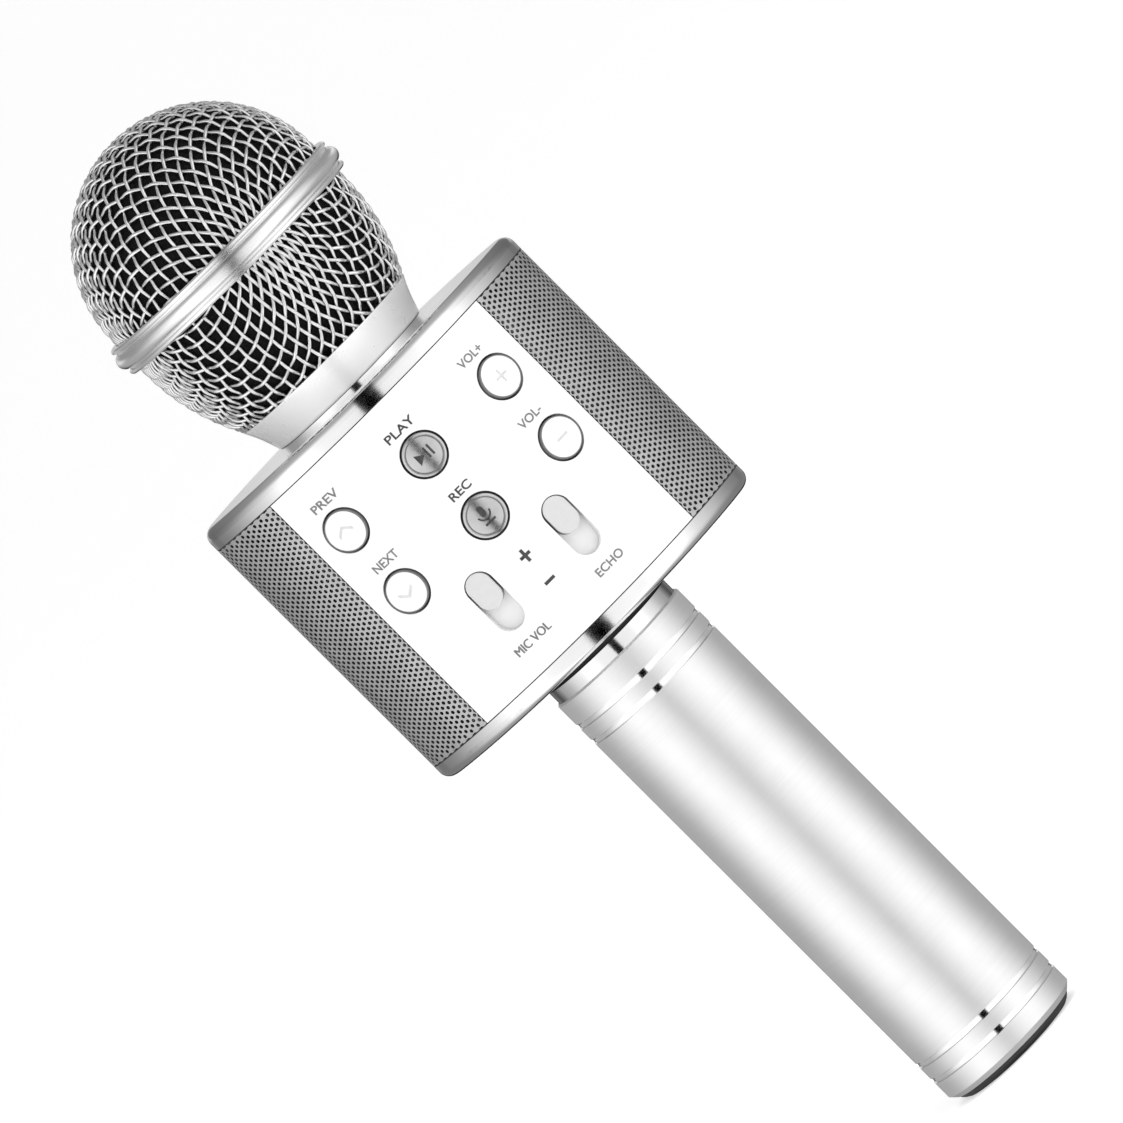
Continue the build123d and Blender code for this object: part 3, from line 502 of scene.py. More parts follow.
def thread(radius, low, high, pitch, depth):
    """A lathe shape that cuts a helical groove into one radius between two heights."""

    def cut(r, z, turn):
        if abs(r - radius) > 1e-7 or not low < z < high:
            return r
        phase = ((z - low) / pitch - turn / (2 * math.pi)) % 1
        fade = min(1.0, (z - low) / pitch, (high - z) / pitch)
        return r - depth * fade * (1 - abs(2 * phase - 1))

    return cut


def steps(radius, low, high, count):
    """Evenly spaced points up a straight wall."""
    return [(radius, low + (high - low) * k / count) for k in range(count + 1)]


def make_collar(material):
    """Flared neck collar with a turned bead at its foot and a thread inside."""
    low, top = COLLAR_LOW_Z, COLLAR_TOP_Z
    foot, brim, seat, bore = 17.9 * MM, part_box("neck_collar")[1].x, 18.9 * MM, 15.08 * MM
    flare = []
    for k in range(41):
        t = k / 40
        flare.append((foot + (brim - foot) * (0.62 * t + 0.38 * t * t), low + (top - low) * t))
    points = [(bore, low), (foot - 0.25 * MM, low), (foot, low + 0.2 * MM)] + flare[2:-1]
    floor = top - 3.5 * MM
    points += [(brim - 0.05 * MM, top - 0.05 * MM), (brim - 0.3 * MM, top), (seat, top), (seat, floor)]
    points += steps(bore, floor, low + 0.05 * MM, 24)
    verts, faces = lathe(points, 160, thread(bore, low + 0.1 * MM, top - 3.6 * MM, 1.5 * MM, -0.5 * MM))
    collar = make_piece(
        "flared_collar", verts, faces, "grille_head", material, replaces=("neck_collar",)
    )
    smooth_by_angle(collar, 35)


def make_threads(spigot_material, cap_material):
    """The two screwed parts with real helical threads, which show once they are unscrewed."""
    low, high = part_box("head_spigot")
    radius, bore, flange, deck = 15 * MM, 12.5 * MM, high.x, PANEL_HIGH_Z
    points = [(bore, low.z), (flange, low.z), (flange, deck), (radius, deck)]
    points += steps(radius, deck + 0.2 * MM, high.z - 0.4 * MM, 56)
    points += [(radius - 0.4 * MM, high.z), (bore + 0.3 * MM, high.z), (bore, high.z - 0.3 * MM)]
    cut = thread(radius, deck + 4.4 * MM, high.z - 0.2 * MM, 1.5 * MM, 0.55 * MM)
    verts, faces = lathe(points, 128, cut)
    spigot = make_piece(
        "threaded_spigot", verts, faces, "housing", spigot_material,
        replaces=("head_spigot",),
    )
    smooth_by_angle(spigot, 42)

    rim_z, top = HANDLE_LOW_Z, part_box("end_cap")[1].z
    plug = 12.12 * MM
    points = [(0.0, 0.0), (11.5 * MM, 0.0)]
    points += [(12.5 * MM, 0.18 * MM), (13.2 * MM, 0.62 * MM), (13.65 * MM, 1.05 * MM), (13.9 * MM, rim_z)]
    points += [(plug, rim_z)] + steps(plug, rim_z + 0.2 * MM, top - 0.5 * MM, 56)
    points += [(plug - 0.4 * MM, top), (9.8 * MM, top), (9.8 * MM, 3 * MM), (0.0, 3 * MM)]
    cut = thread(plug, rim_z + 1.2 * MM, top - 0.3 * MM, 1.5 * MM, 0.5 * MM)
    verts, faces = lathe(points, 128, cut)
    cap = make_piece(
        "threaded_end_cap", verts, faces, "handle_plug", cap_material, replaces=("end_cap",)
    )
    smooth_by_angle(cap, 42)


def make_key(name, x, z, material, skirt):
    """A key with a crowned face, a rolled rim and a dark grey wall below the rim: painted shade for the gap
    around the key. A plated key has a deeper crown inside a raised rim; a white one is smooth from its middle
    to its rim."""
    plated_key = name in PLATED_KEYS
    drop = 0.5 if plated_key else 0.26
    ball = (KEY_CROWN_RADIUS**2 + drop**2) / (2 * drop)
    crown = [(0.15 * k, KEY_PROUD - ball + math.sqrt(ball**2 - (0.15 * k) ** 2)) for k in range(23)]
    raised_rim = [(3.85, 0.28), (3.7, 0.24), (3.58, 0.12), (3.5, 0.08)]
    rim = raised_rim if plated_key else [(3.82, 0.26), (3.6, 0.31)]
    points = [(0, -5.3), (1.5, -5.3), (1.5, -3.4), (5.2, -3.4), (5.2, -2.65), (KEY_RADIUS, -2.65)]
    points += [(KEY_RADIUS, 0.05), (4.05, 0.16), (3.97, 0.24)] + rim
    points += [(KEY_CROWN_RADIUS, KEY_PROUD - drop)] + crown[::-1]
    verts, faces = lathe([(r * MM, h * MM) for r, h in points], 96)
    place = face_frame(x, z)
    piece = make_piece(
        f"{name}_key_cap", [place @ Vector(v) for v in verts], faces, f"{name}_key", material,
        replaces=(f"{name}_button",),
    )
    smooth_by_angle(piece, 30)
    piece.data.materials.append(skirt)
    # The key's wall below this height gets the dark grey material: painted shade for the gap around the key
    # in its well.
    skirt_top = 0.17 if plated_key else 0.27
    for face in piece.data.polygons:
        if max(verts[i][2] for i in face.vertices) < skirt_top * MM:
            face.material_index = 1


def bar(x, y, width, height):
    """Corners of a rectangle about a middle."""
    return [(x - width / 2, y - height / 2), (x + width / 2, y - height / 2),
            (x + width / 2, y + height / 2), (x - width / 2, y + height / 2)]


def chevron(up):
    """Corners of a V whose point is up (1) or down (-1)."""
    half, rise, thick = 1.7, 1.3, 0.6
    corners = [(-half, -rise / 2), (0, rise / 2), (half, -rise / 2)]
    corners += [(half, -rise / 2 + thick), (0, rise / 2 + thick), (-half, -rise / 2 + thick)]
    return [(x, up * y) for x, y in (corners if up > 0 else reversed(corners))]


def arc_strokes(radius, thick, start, end, centre_y):
    """Corners of the short strokes that make a curved one."""
    turns = [math.radians(start + (end - start) * k / 12) for k in range(13)]
    inner = [(radius * math.cos(t), centre_y + radius * math.sin(t)) for t in turns]
    outer = [((radius + thick) * math.cos(t), centre_y + (radius + thick) * math.sin(t)) for t in turns]
    return [[inner[k], outer[k], outer[k + 1], inner[k + 1]] for k in range(12)]


def capsule(width, height, centre_y):
    """Corners of an upright pill."""
    r, straight = width / 2, (height - width) / 2
    turns = [math.pi * k / 8 for k in range(9)]
    upper = [(r * math.cos(t), centre_y + straight + r * math.sin(t)) for t in turns]
    return upper + [(-x, 2 * centre_y - y) for x, y in upper]


KEY_SYMBOLS = {
    "previous": [chevron(1)],
    "next": [chevron(-1)],
    "play": [[(-1.75, -1.15), (0.05, 0.0), (-1.75, 1.15)], bar(0.6, 0, 0.42, 2.3), bar(1.5, 0, 0.42, 2.3)],
    "record": [capsule(1.2, 2.2, 1.05), bar(0, -0.95, 0.36, 0.5), bar(0, -1.4, 2.4, 0.4)]
    + arc_strokes(1.15, 0.34, 185, 355, 0.65),
    "volume_up": [bar(0, 0, 2.6, 0.42), bar(0, 0.78, 0.42, 1.14), bar(0, -0.78, 0.42, 1.14)],
    "volume_down": [bar(0, 0, 2.6, 0.42)],
}


def make_keys(m):
    """Six round keys with their printed symbols."""
    for name, (x, z) in KEYS.items():
        plated = name in PLATED_KEYS
        make_key(name, x, z, m["key_plated"] if plated else m["key"], m["skirt"])
        place = face_frame(x, z)
        strokes = [slab(corners, KEY_PROUD - 0.3, KEY_PROUD + 0.03) for corners in KEY_SYMBOLS[name]]
        verts, faces = joined(strokes)
        verts = [place @ (Vector(v) * MM) for v in verts]
        ink = m["ink_dark"] if plated else m["ink_pale"]
        make_piece(f"{name}_key_symbol", verts, faces, f"{name}_key", ink, smooth=False)


# ---- printed words --------------------------------------------------------------------------
CAP_HEIGHT = 1.7
FRONT_WORDS = {
    "panel_print_side": (
        "ink_grey",
        [("PREV", -19.3, 161.25, 6.4), ("NEXT", -19.2, 145.8, 5.9), ("VOL+", 18.9, 161.25, 5.9),
         ("VOL-", 18.8, 145.8, 5.6), ("MIC VOL", -9.8, 117.2, 8.2), ("ECHO", 10.0, 117.2, 6.4)],
    ),
    "panel_print_middle": ("ink_dark", [("PLAY", 0.0, 161.1, 6.6), ("REC", 0.0, 145.6, 4.7)]),
}
BACK_WORDS = [("ON", 6.4, 154.2, 3.0), ("OFF", 6.7, 150.2, 4.0), ("USB", 0.0, 136.4, 4.2),
              ("CARD", 0.0, 127.2, 5.4), ("AUX", 0.0, 115.2, 4.2)]


def word_mesh(word):
    """A bold word as a thin solid, centred, one unit wide and with capitals one unit high."""
    curve = bpy.data.curves.new("word", "FONT")
    curve.body = word
    curve.extrude = 0.5
    curve.offset = 0.0 if "M" in word else 0.016
    curve.resolution_u = 4
    writer = bpy.data.objects.new("word", curve)
    bpy.context.scene.collection.objects.link(writer)
    mesh = bpy.data.meshes.new_from_object(writer.evaluated_get(bpy.context.evaluated_depsgraph_get()))
    verts = np.array([v.co[:] for v in mesh.vertices])
    faces = [tuple(face.vertices) for face in mesh.polygons]
    bpy.data.objects.remove(writer)
    bpy.data.curves.remove(curve)
    bpy.data.meshes.remove(mesh)
    low, high = verts.min(0), verts.max(0)
    verts[:, 0] = (verts[:, 0] - (low[0] + high[0]) / 2) / (high[0] - low[0])
    verts[:, 1] = (verts[:, 1] - low[1]) / (high[1] - low[1])
    return verts, faces


def make_print(name, words, material, side=-1, extra=()):
    """Words, and plain marks, pad-printed on the front or back of the housing."""
    parts = list(extra)
    for word, across, base_z, width in words:
        verts, faces = word_mesh(word)
        for shift in (-0.06, 0.06) if "M" in word else (0.0,):
            middle = across + shift
            place = [(middle + x * width, base_z + y * CAP_HEIGHT, lift * 0.1) for x, y, lift in verts]
            parts.append((place, faces))
    verts, faces = joined(parts)
    verts = [on_panel(u * MM, v * MM, lift * MM, side) for u, v, lift in verts]
    make_piece(name, verts, faces, "housing", material, smooth=False)


def make_prints(m):
    """The words over the keys and under the sliders, and the marks between the sliders."""
    plus = [bar(0, 129.8, 2.3, 0.62), bar(0, 130.64, 0.62, 1.06), bar(0, 128.96, 0.62, 1.06)]
    marks = plus + [bar(0, 123.5, 2.3, 0.62)]
    marks = [slab(corners, -0.05, 0.05) for corners in marks]
    for name, (ink, words) in FRONT_WORDS.items():
        make_print(name, words, m[ink], extra=marks if ink == "ink_dark" else ())
    make_print("back_print", BACK_WORDS, m["ink_grey"], side=1)


# ---- perforated side grilles ----------------------------------------------------------------
def oval_place(s, inset):
    """Point on the housing's plan at arc length s from the middle of its right end."""
    end_turn = math.pi / 2 - math.atan2(BODY_HALF_WIDTH - END_RADIUS, FACE_CENTRE_Y)
    end_length = END_RADIUS * end_turn
    side = 1 if s >= 0 else -1
    if abs(s) <= end_length:
        turn = s / END_RADIUS
        r = END_RADIUS - inset
        return BODY_HALF_WIDTH - END_RADIUS + r * math.cos(turn), r * math.sin(turn)
    turn = end_turn + (abs(s) - end_length) / FACE_RADIUS
    r = FACE_RADIUS - inset
    return r * math.cos(turn), side * (r * math.sin(turn) - FACE_CENTRE_Y)


def grille_half_length():
    """Arc length from the middle of the end to where the panels start."""
    end_turn = math.pi / 2 - math.atan2(BODY_HALF_WIDTH - END_RADIUS, FACE_CENTRE_Y)
    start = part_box("side_grille_right")[0].x
    return END_RADIUS * end_turn + FACE_RADIUS * (math.acos(start / FACE_RADIUS) - end_turn)


def perforated_side(side, material):
    """Sheet metal with staggered round holes, wrapped around one end of the housing."""
    pitch, hole, sheet = 1.2 * MM, 0.37 * MM, 0.6 * MM
    half = grille_half_length()
    low, high = PANEL_LOW_Z + 0.02 * MM, PANEL_HIGH_Z - 0.02 * MM
    column_step = pitch * math.sqrt(3) / 2
    columns = int((half - 0.4 * MM) / column_step)
    rows = int((high - low) / pitch)
    points, index, quads = [], {}, []

    def point(s, z, inset):
        key = (round(s * 1e7), round(z * 1e7), inset)
        if key not in index:
            x, y = oval_place(s, inset)
            index[key] = len(points)
            points.append((side * x, y, z))
        return index[key]

    def face(corners):
        for inset, order in ((0.0, corners), (sheet, corners[::-1])):
            quads.append([point(s, z, inset) for s, z in order])

    cell_r = pitch / math.sqrt(3)
    bottom = (low + high) / 2 - rows * pitch / 2
    for c in range(-columns, columns + 1):
        shift = pitch / 2 if c % 2 else 0.0
        for r in range(rows + (0 if c % 2 else 1)):
            s0, z0 = c * column_step, bottom + r * pitch + shift
            inside = low + cell_r < z0 < high - cell_r
            corners = [
                (s0 + cell_r * math.cos(math.pi / 3 * k), z0 + cell_r * math.sin(math.pi / 3 * k))
                for k in range(6)
            ]
            corners = [(s, min(max(z, low), high)) for s, z in corners]
            if not inside:
                face(corners)
                continue
            rim = [
                (s0 + hole * math.cos(math.pi / 6 * k), z0 + hole * math.sin(math.pi / 6 * k))
                for k in range(12)
            ]
            for k in range(6):
                a, b = corners[k], corners[(k + 1) % 6]
                r0, r1, r2 = rim[2 * k], rim[2 * k + 1], rim[(2 * k + 2) % 12]
                face([a, r1, r0])
                face([a, b, r1])
                face([b, r2, r1])
            for k in range(12):
                p, q = rim[k], rim[(k + 1) % 12]
                quads.append([point(*p, 0.0), point(*p, sheet), point(*q, sheet), point(*q, 0.0)])
    name = f"perforated_sheet_{'right' if side > 0 else 'left'}"
    node = f"side_grille_{'right' if side > 0 else 'left'}"
    if side < 0:
        quads = [q[::-1] for q in quads]
    quads = [q for q in quads if len(set(q)) > 2]
    piece = make_piece(name, points, quads, "housing", material, replaces=(node,))
    smooth_by_angle(piece, 40)
    return piece


# ---- camera, light and floor ----------------------------------------------------------------
def aim(thing, target, roll=0.0):
    """Points an object's -Z at a place, with world Z up, then rolls it about its view axis."""
    forward = (Vector(target) - thing.location).normalized()
    facing = forward.to_track_quat("-Z", "Y").to_matrix()
    thing.rotation_euler = (facing @ Matrix.Rotation(roll, 3, "Z")).to_euler()


def make_camera():
    """A long lens from the front and a little above, rolled so that the ball head is top left."""
    camera = bpy.data.objects.new("camera", bpy.data.cameras.new("camera"))
    bpy.context.scene.collection.objects.link(camera)
    camera.location = (0, -2.5, 0.320)
    aim(camera, (0.0039, 0, 0.1224), math.radians(-45))
    camera.data.lens = 441
    camera.data.clip_end = 100
    bpy.context.scene.camera = camera
    return camera


def make_light(name, place, target, size, power):
    """A rectangular softbox, which lights dull surfaces and doesn't show in the metal."""
    data = bpy.data.lights.new(name, "AREA")
    data.shape = "RECTANGLE"
    data.size, data.size_y = size
    data.energy = power
    light = bpy.data.objects.new(name, data)
    bpy.context.scene.collection.objects.link(light)
    light.location = place
    aim(light, target)
    light.visible_camera = False
    light.visible_glossy = False
    return light


def make_floor():
    """A plain pale floor under the end cap, which doesn't show in the metal."""
    size = 40
    mesh = bpy.data.meshes.new("floor")
    corners = [(-size, -size, 0), (size, -size, 0), (size, size, 0), (-size, size, 0)]
    mesh.from_pydata(corners, [], [(0, 1, 2, 3)])
    floor = bpy.data.objects.new("floor", mesh)
    bpy.context.scene.collection.objects.link(floor)
    n = Nodes("floor_paper")
    n.put(n.shader.inputs["Base Color"], n.mix(n.noise(6, 3), 0.86, 0.88))
    n.shader.inputs["Roughness"].default_value = 0.9
    n.shader.inputs["Specular IOR Level"].default_value = 0.1
    n.shader.inputs["Emission Color"].default_value = rgba(1.0)
    n.shader.inputs["Emission Strength"].default_value = 0.52
    mesh.materials.append(n.material)
    floor.visible_glossy = False


# brightness of the studio's walls by the angle from the camera's side, in degrees: below the
# horizon, which upright metal shows, and above it
LOW_WALLS = (
    (0, 1.08), (30, 1.12), (44, 1.42), (56, 1.42), (70, 1.1),
    (85, 0.9), (100, 0.6), (115, 0.44), (158, 0.38), (166, 0.03), (180, 0.03),
)
HIGH_WALLS = (
    (0, 0.95), (30, 1.08), (44, 1.32), (56, 1.32), (70, 1.0),
    (85, 0.75), (100, 0.46), (115, 0.34), (180, 0.28),
)
GAP_HALF_SLOPE = math.tan(math.radians(3.05))
OVERHEAD = 0.44
BEHIND = 0.92


def make_world():
    """White studio surroundings: softboxes left and right of the camera, a narrow dark gap between
    them and darker walls behind. The camera itself sees plain white."""
    world = bpy.data.worlds.new("studio")
    bpy.context.scene.world = world
    world.use_nodes = True
    tree = world.node_tree
    link = tree.links.new
    direction = tree.nodes.new("ShaderNodeSeparateXYZ")
    link(tree.nodes.new("ShaderNodeTexCoord").outputs["Generated"], direction.inputs[0])
    height = direction.outputs["Z"]

    def put(value, socket):
        if isinstance(value, bpy.types.NodeSocket):
            link(value, socket)
        else:
            socket.default_value = value

    def math_node(operation, a, b=0.0):
        node = tree.nodes.new("ShaderNodeMath")
        node.operation = operation
        put(a, node.inputs[0])
        put(b, node.inputs[1])
        return node.outputs[0]

    def mix(factor, a, b):
        node = tree.nodes.new("ShaderNodeMix")
        put(factor, node.inputs["Factor"])
        put(a, node.inputs[2])
        put(b, node.inputs[3])
        return node.outputs[0]

    def fade(value, low, high):
        node = tree.nodes.new("ShaderNodeMapRange")
        node.interpolation_type = "SMOOTHSTEP"
        put(value, node.inputs["Value"])
        node.inputs["From Min"].default_value = low
        node.inputs["From Max"].default_value = high
        return node.outputs[0]

    def walls(angle, levels):
        node = tree.nodes.new("ShaderNodeValToRGB")
        link(math_node("DIVIDE", angle, math.pi), node.inputs[0])
        ramp = node.color_ramp
        while len(ramp.elements) < len(levels):
            ramp.elements.new(1.0)
        for element, (degrees, level) in zip(ramp.elements, levels):
            element.position = degrees / 180
            element.color = rgba(level / 2)
        return math_node("MULTIPLY", node.outputs[0], 2.0)

    back = math_node("MULTIPLY", direction.outputs["Y"], -1.0)
    angle = math_node("ABSOLUTE", math_node("ARCTAN2", direction.outputs["X"], back))
    low_down = math_node("SUBTRACT", 1.0, fade(height, 0.12, 0.20))
    behind = math_node("MULTIPLY", fade(angle, 2.3, 2.7), low_down)
    high = mix(fade(height, 0.40, 0.95), walls(angle, HIGH_WALLS), OVERHEAD)
    high = mix(behind, high, BEHIND)
    level = mix(fade(height, -0.15, 0.15), walls(angle, LOW_WALLS), high)
    gap = math_node("MULTIPLY", math_node("ADD", back, 1.0), GAP_HALF_SLOPE)
    lit = math_node("GREATER_THAN", math_node("ABSOLUTE", direction.outputs["X"]), gap)
    level = math_node("MULTIPLY", level, lit)
    level = mix(tree.nodes.new("ShaderNodeLightPath").outputs["Is Camera Ray"], level, 1.05)
    background = tree.nodes["Background"]
    background.inputs["Color"].default_value = rgba(1.0)
    link(level, background.inputs["Strength"])


def make_studio():
    """Surroundings, floor and two soft lights, shown without any tone curve."""
    scene = bpy.context.scene
    scene.view_settings.view_transform = "Standard"
    scene.view_settings.look = "None"
    scene.view_settings.exposure = 0
    scene.view_settings.gamma = 1
    make_world()
    make_floor()
    middle = (0, 0, 0.12)
    make_light("softbox_top", (0.25, -0.5, 1.6), middle, (1.2, 0.9), 8)
    make_light("softbox_front", (-0.3, -1.6, 0.6), middle, (1.2, 1.2), 3.8)


# ---- materials ------------------------------------------------------------------------------
def near(n, value, middle, half_width):
    """1 where a value is within half_width of a middle, and 0 elsewhere."""
    return n.math("COMPARE", value, middle, half_width)


def turned_metal(name, dark, light, rough, lines, depth, polished_at=()):
    """Anodised metal with fine lines around it from the lathe, and grooves cut bright after anodising."""
    n = Nodes(name)
    turning = n.noise(lines, 2, n.stretched((0.02, 0.02, 1.0)))
    patches = n.noise(55, 3)
    shade = n.math("ADD", n.math("MULTIPLY", turning, 0.5), n.math("MULTIPLY", patches, 0.5))
    colour = n.mix(n.remap(shade, 0.3, 0.7, 0, 1), dark, light)
    gloss = n.remap(n.noise(150, 4), 0.3, 0.7, *rough)
    bright = 0.0
    for z in polished_at:
        bright = n.math("ADD", bright, near(n, n.axis("Z"), z, 0.62 * MM))
    if polished_at:
        colour = n.mix(bright, colour, 0.98)
        gloss = n.math("MULTIPLY", gloss, n.remap(bright, 0, 1, 1.0, 0.22))
    n.put(n.shader.inputs["Base Color"], colour)
    n.put(n.shader.inputs["Roughness"], gloss)
    n.shader.inputs["Metallic"].default_value = 1.0
    n.bump(turning, 0.2, depth * MM)
    return n.material


def plated(name, dark, light, rough, joint_and_shadow_bands, painted_side_reflection):
    """Plated plastic with dark matt bands in (lowest, highest) ranges of height, joint lines on the trims and
    painted shadow on the neck ring, and darkened towards both sides as a painted dark reflection: from a
    first distance across to a second, by a strength."""
    n = Nodes(name)
    colour = n.mix(n.remap(n.noise(70, 4), 0.3, 0.7, 0, 1), dark, light)
    # Painted dark reflection: the colour darkens towards both sides by the distance across.
    start, end, strength = painted_side_reflection
    colour = n.mix(n.remap(n.math("ABSOLUTE", n.axis("X")), start, end, 0, strength), colour, 0.03)
    gloss = n.remap(n.noise(210, 5), 0.3, 0.7, *rough)
    line = 0.0
    # Dark matt bands: real joint lines on the trims, painted shadow under the housing on the neck ring.
    for low, high in joint_and_shadow_bands:
        line = n.math("ADD", line, near(n, n.axis("Z"), (low + high) / 2, (high - low) / 2))
    colour = n.mix(line, colour, 0.02)
    metal = n.math("SUBTRACT", 1.0, line)
    gloss = n.math("ADD", gloss, n.math("MULTIPLY", line, 0.5))
    n.put(n.shader.inputs["Base Color"], colour)
    n.put(n.shader.inputs["Metallic"], metal)
    n.put(n.shader.inputs["Roughness"], gloss)
    n.bump(n.noise(3000, 2), 0.03, 0.02 * MM)
    return n.material


def slider_plastic(name):
    """Grey finger pad on a white slot cover, with the pad's sides in the slot dark grey as painted shade, by
    the distance out from the face's curve.
    """
    n = Nodes(name)
    x, y = n.axis("X"), n.math("SUBTRACT", n.axis("Y"), FACE_CENTRE_Y)
    reach = n.math("SQRT", n.math("ADD", n.math("MULTIPLY", x, x), n.math("MULTIPLY", y, y)))
    # Painted shade: between 2 mm and 0.1 mm below the face the pad's sides are dark grey, where the slot is
    # in shade.
    side = n.math("GREATER_THAN", reach, FACE_RADIUS - 2.0 * MM)
    pad = n.math("GREATER_THAN", reach, FACE_RADIUS - 0.1 * MM)
    speckle = n.noise(900, 3)
    colour = n.mix(side, n.mix(speckle, 0.86, 0.90), n.mix(speckle, 0.10, 0.14))
    colour = n.mix(pad, colour, n.mix(speckle, 0.60, 0.66))
    n.put(n.shader.inputs["Base Color"], colour)
    n.put(n.shader.inputs["Roughness"], n.remap(n.noise(300, 3), 0.3, 0.7, 0.3, 0.42))
    n.bump(n.noise(3500, 2), 0.06, 0.02 * MM)
    return n.material


def printed_board(name):
    """Green circuit board with paler traces and tinned pads."""
    n = Nodes(name)
    traces = n.add("ShaderNodeTexBrick", offset=0.37, squash=0.7, squash_frequency=3)
    turned = n.add("ShaderNodeMapping")
    turned.inputs["Rotation"].default_value = (math.pi / 2, 0, 0)
    n.link(n.coordinates, turned.inputs["Vector"])
    n.link(turned.outputs[0], traces.inputs["Vector"])
    traces.inputs["Scale"].default_value = 420
    traces.inputs["Mortar Size"].default_value = 0.035
    n.put(traces.inputs["Color1"], rgba((0.010, 0.095, 0.035)))
    n.put(traces.inputs["Color2"], rgba((0.012, 0.115, 0.045)))
    n.put(traces.inputs["Mortar"], rgba((0.03, 0.22, 0.09)))
    pads = n.add("ShaderNodeTexVoronoi", feature="F1")
    pads.inputs["Scale"].default_value = 330
    n.link(n.coordinates, pads.inputs["Vector"])
    pad = n.math("LESS_THAN", pads.outputs["Distance"], 0.16)
    n.put(n.shader.inputs["Base Color"], n.mix(pad, traces.outputs["Color"], 0.62))
    n.put(n.shader.inputs["Roughness"], n.remap(pad, 0, 1, 0.35, 0.25))
    n.put(n.shader.inputs["Metallic"], pad)
    n.bump(traces.outputs["Fac"], 0.3, 0.04 * MM)
    return n.material


def ribbed_cone(name):
    """Dark paper cone with pressed rings around the loudspeaker's axis."""
    n = Nodes(name)
    up = n.math("SUBTRACT", n.axis("Z"), SPEAKER_Z)
    y = n.axis("Y")
    reach = n.math("SQRT", n.math("ADD", n.math("MULTIPLY", up, up), n.math("MULTIPLY", y, y)))
    rings = n.math("SINE", n.math("MULTIPLY", reach, 2 * math.pi / (1.5 * MM)))
    fibres = n.noise(1800, 4)
    n.put(n.shader.inputs["Base Color"], n.mix(fibres, 0.018, 0.040))
    n.shader.inputs["Roughness"].default_value = 0.85
    n.bump(n.math("ADD", n.math("MULTIPLY", rings, 0.5), fibres), 0.6, 0.15 * MM)
    return n.material


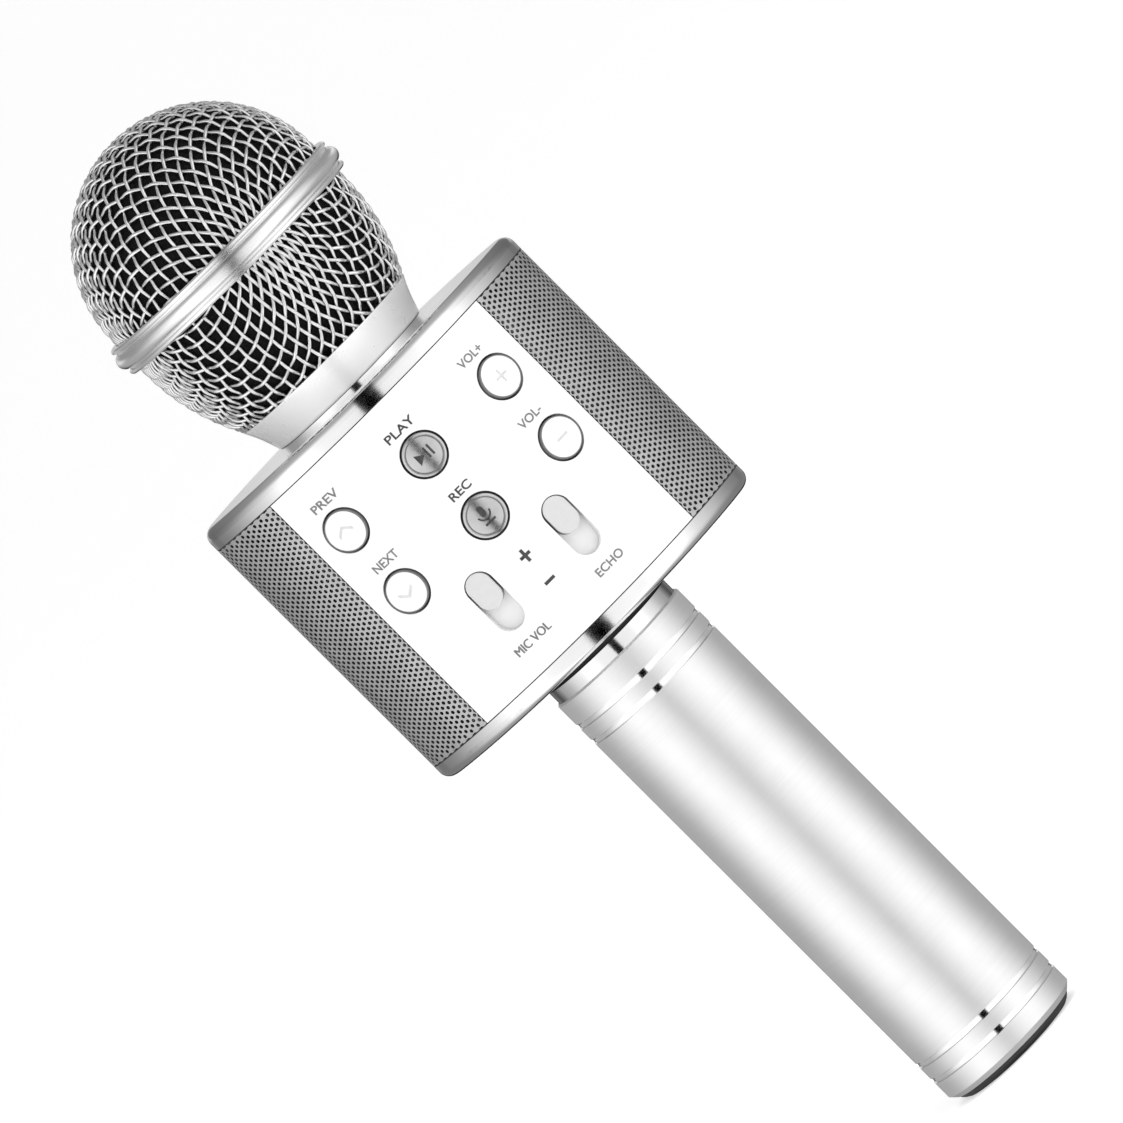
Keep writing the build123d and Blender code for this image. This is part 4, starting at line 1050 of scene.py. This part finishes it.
def make_materials():
    """Every material, by a short name."""
    m = {}
    m["wire"] = surface("woven_steel_wire", 0.74, 0.93, (0.24, 0.36), 1.0, blotch=500, grain=5000, depth=0.01)
    m["chrome"] = surface("band_chrome", 0.86, 0.93, (0.19, 0.26), 1.0, blotch=90, grain=1500, bump=0.03)
    m["collar"] = surface("collar_satin_metal", 0.95, 0.98, (0.26, 0.32), 0.3, blotch=80, bump=0.05)
    m["foam"] = surface(
        "open_cell_foam", 0.003, 0.011, (0.9, 1.0), blotch=1500, grain=2600, bump=0.9, depth=0.3,
        Specular_IOR_Level=0.15,
    )
    joint = 0.22 * MM
    joints = [(PANEL_HIGH_Z, PANEL_HIGH_Z + joint), (PANEL_LOW_Z - joint, PANEL_LOW_Z)]
    # The trims darken towards both ends as a painted dark reflection; their two bands are real dark joint
    # lines.
    m["trim"] = plated("plated_trim", 0.80, 0.88, (0.08, 0.13), joints, (20 * MM, 39 * MM, 0.62))
    # Painted shadow on the neck ring just under the housing, and painted dark reflection towards its sides.
    neck_shadow_band = [(NECK_SHADOW_LOW_Z, BODY_LOW_Z + 1 * MM)]
    m["neck"] = plated("plated_neck_ring", 0.76, 0.85, (0.08, 0.13), neck_shadow_band, (12.6 * MM, 13.8 * MM, 0.97))
    m["panel"] = surface("panel_white_gloss", 0.875, 0.89, (0.24, 0.34), blotch=40, grain=2500, bump=0.04)
    m["side"] = surface("perforated_metal", 0.50, 0.60, (0.34, 0.48), 1.0, blotch=200, grain=4000, bump=0.1)
    m["key"] = surface("key_white", 0.84, 0.89, (0.2, 0.3), blotch=200, bump=0.04)
    m["key_plated"] = surface("key_plated", 0.54, 0.62, (0.20, 0.27), 1.0, blotch=300, bump=0.04)
    # Painted shade for the gap around each key, on the key's wall below its rim.
    m["skirt"] = surface("key_skirt_grey", 0.14, 0.20, (0.5, 0.7), blotch=300)
    m["slider"] = slider_plastic("slider_plastic")
    m["handle"] = turned_metal("handle_anodised", 0.86, 0.91, (0.42, 0.47), 2600, 0.0015, HANDLE_GROOVES_Z)
    m["nut"] = turned_metal("turned_nut", 0.60, 0.72, (0.25, 0.4), 2000, 0.02)
    m["black"] = surface("moulded_black", 0.010, 0.018, (0.35, 0.5), blotch=150, grain=2500, bump=0.15)
    m["matt_black"] = surface("matt_black", 0.014, 0.026, (0.6, 0.8), blotch=150, grain=1800, bump=0.2)
    m["rubber"] = surface("black_rubber", 0.012, 0.02, (0.55, 0.7), blotch=200, grain=2500, bump=0.15)
    m["red"] = surface("red_insulation", (0.45, 0.02, 0.015), (0.55, 0.03, 0.02), (0.3, 0.45), blotch=300)
    m["board"] = printed_board("board_green")
    m["steel"] = surface("stamped_steel", 0.45, 0.58, (0.25, 0.4), 1.0, blotch=300)
    m["brass"] = surface(
        "contact_brass", (0.65, 0.45, 0.18), (0.78, 0.56, 0.24), (0.25, 0.38), 1.0, blotch=300
    )
    m["paper"] = ribbed_cone("cone_paper")
    m["ferrite"] = surface("ferrite", 0.06, 0.09, (0.45, 0.6), 0.6, blotch=300)
    m["ivory"] = surface("ivory_plastic", (0.72, 0.72, 0.68), (0.78, 0.78, 0.74), (0.4, 0.5), blotch=100)
    m["wrap"] = surface("cell_wrap_blue", (0.02, 0.12, 0.36), (0.03, 0.16, 0.44), (0.2, 0.3), blotch=100)
    m["ink_dark"] = surface("ink_dark_grey", 0.03, 0.06, (0.4, 0.6), blotch=900)
    m["ink_grey"] = surface("ink_mid_grey", 0.15, 0.23, (0.4, 0.6), blotch=900)
    m["ink_pale"] = surface("ink_pale_grey", 0.60, 0.70, (0.4, 0.6), blotch=900)
    return m


def paint_nodes(m):
    """Gives each CAD node that is shown its material."""
    paint(m["chrome"], "grille_band")
    paint(m["trim"], "top_cap", "bottom_cap")
    paint(m["neck"], "handle_neck_ring")
    paint(m["panel"], "front_panel", "rear_panel")
    paint(m["handle"], "handle_tube")
    paint(m["nut"], "coupling_nut")
    paint(m["slider"], "mic_volume_slider", "echo_slider")
    paint(m["black"], "power_switch_knob", "audio_jack", "capsule_grid", "main_board_parts")
    paint(m["matt_black"], "inner_frame", "capsule_holder", "key_carrier", "handle_coupling")
    paint(m["matt_black"], "key_switches", "slider_tracks", "power_switch_body")
    paint(m["matt_black"], "speaker_basket_left", "speaker_basket_right")
    paint(m["rubber"], "shock_mount", "capsule_lead", "speaker_leads", "battery_lead_negative")
    paint(m["rubber"], "end_cap_gasket", "speaker_surround_left", "speaker_surround_right")
    paint(m["red"], "battery_lead_positive")
    paint(m["board"], "main_board", "port_board")
    paint(m["steel"], "capsule_body", "rear_screws", "usb_socket", "card_socket", "battery_spring")
    paint(m["brass"], "battery_contact")
    paint(m["paper"], "speaker_cone_left", "speaker_cone_right")
    paint(m["ferrite"], "speaker_magnet_left", "speaker_magnet_right")
    paint(m["ivory"], "battery_sleeve")
    paint(m["wrap"], "battery_cell")


# ---- the scene ------------------------------------------------------------------------------
make_camera()
make_studio()
materials = make_materials()
paint_nodes(materials)
make_grilles(materials["wire"])
make_foam(materials["foam"])
make_collar(materials["collar"])
make_threads(materials["ivory"], materials["black"])
make_keys(materials)
make_prints(materials)
for end in (-1, 1):
    perforated_side(end, materials["side"])
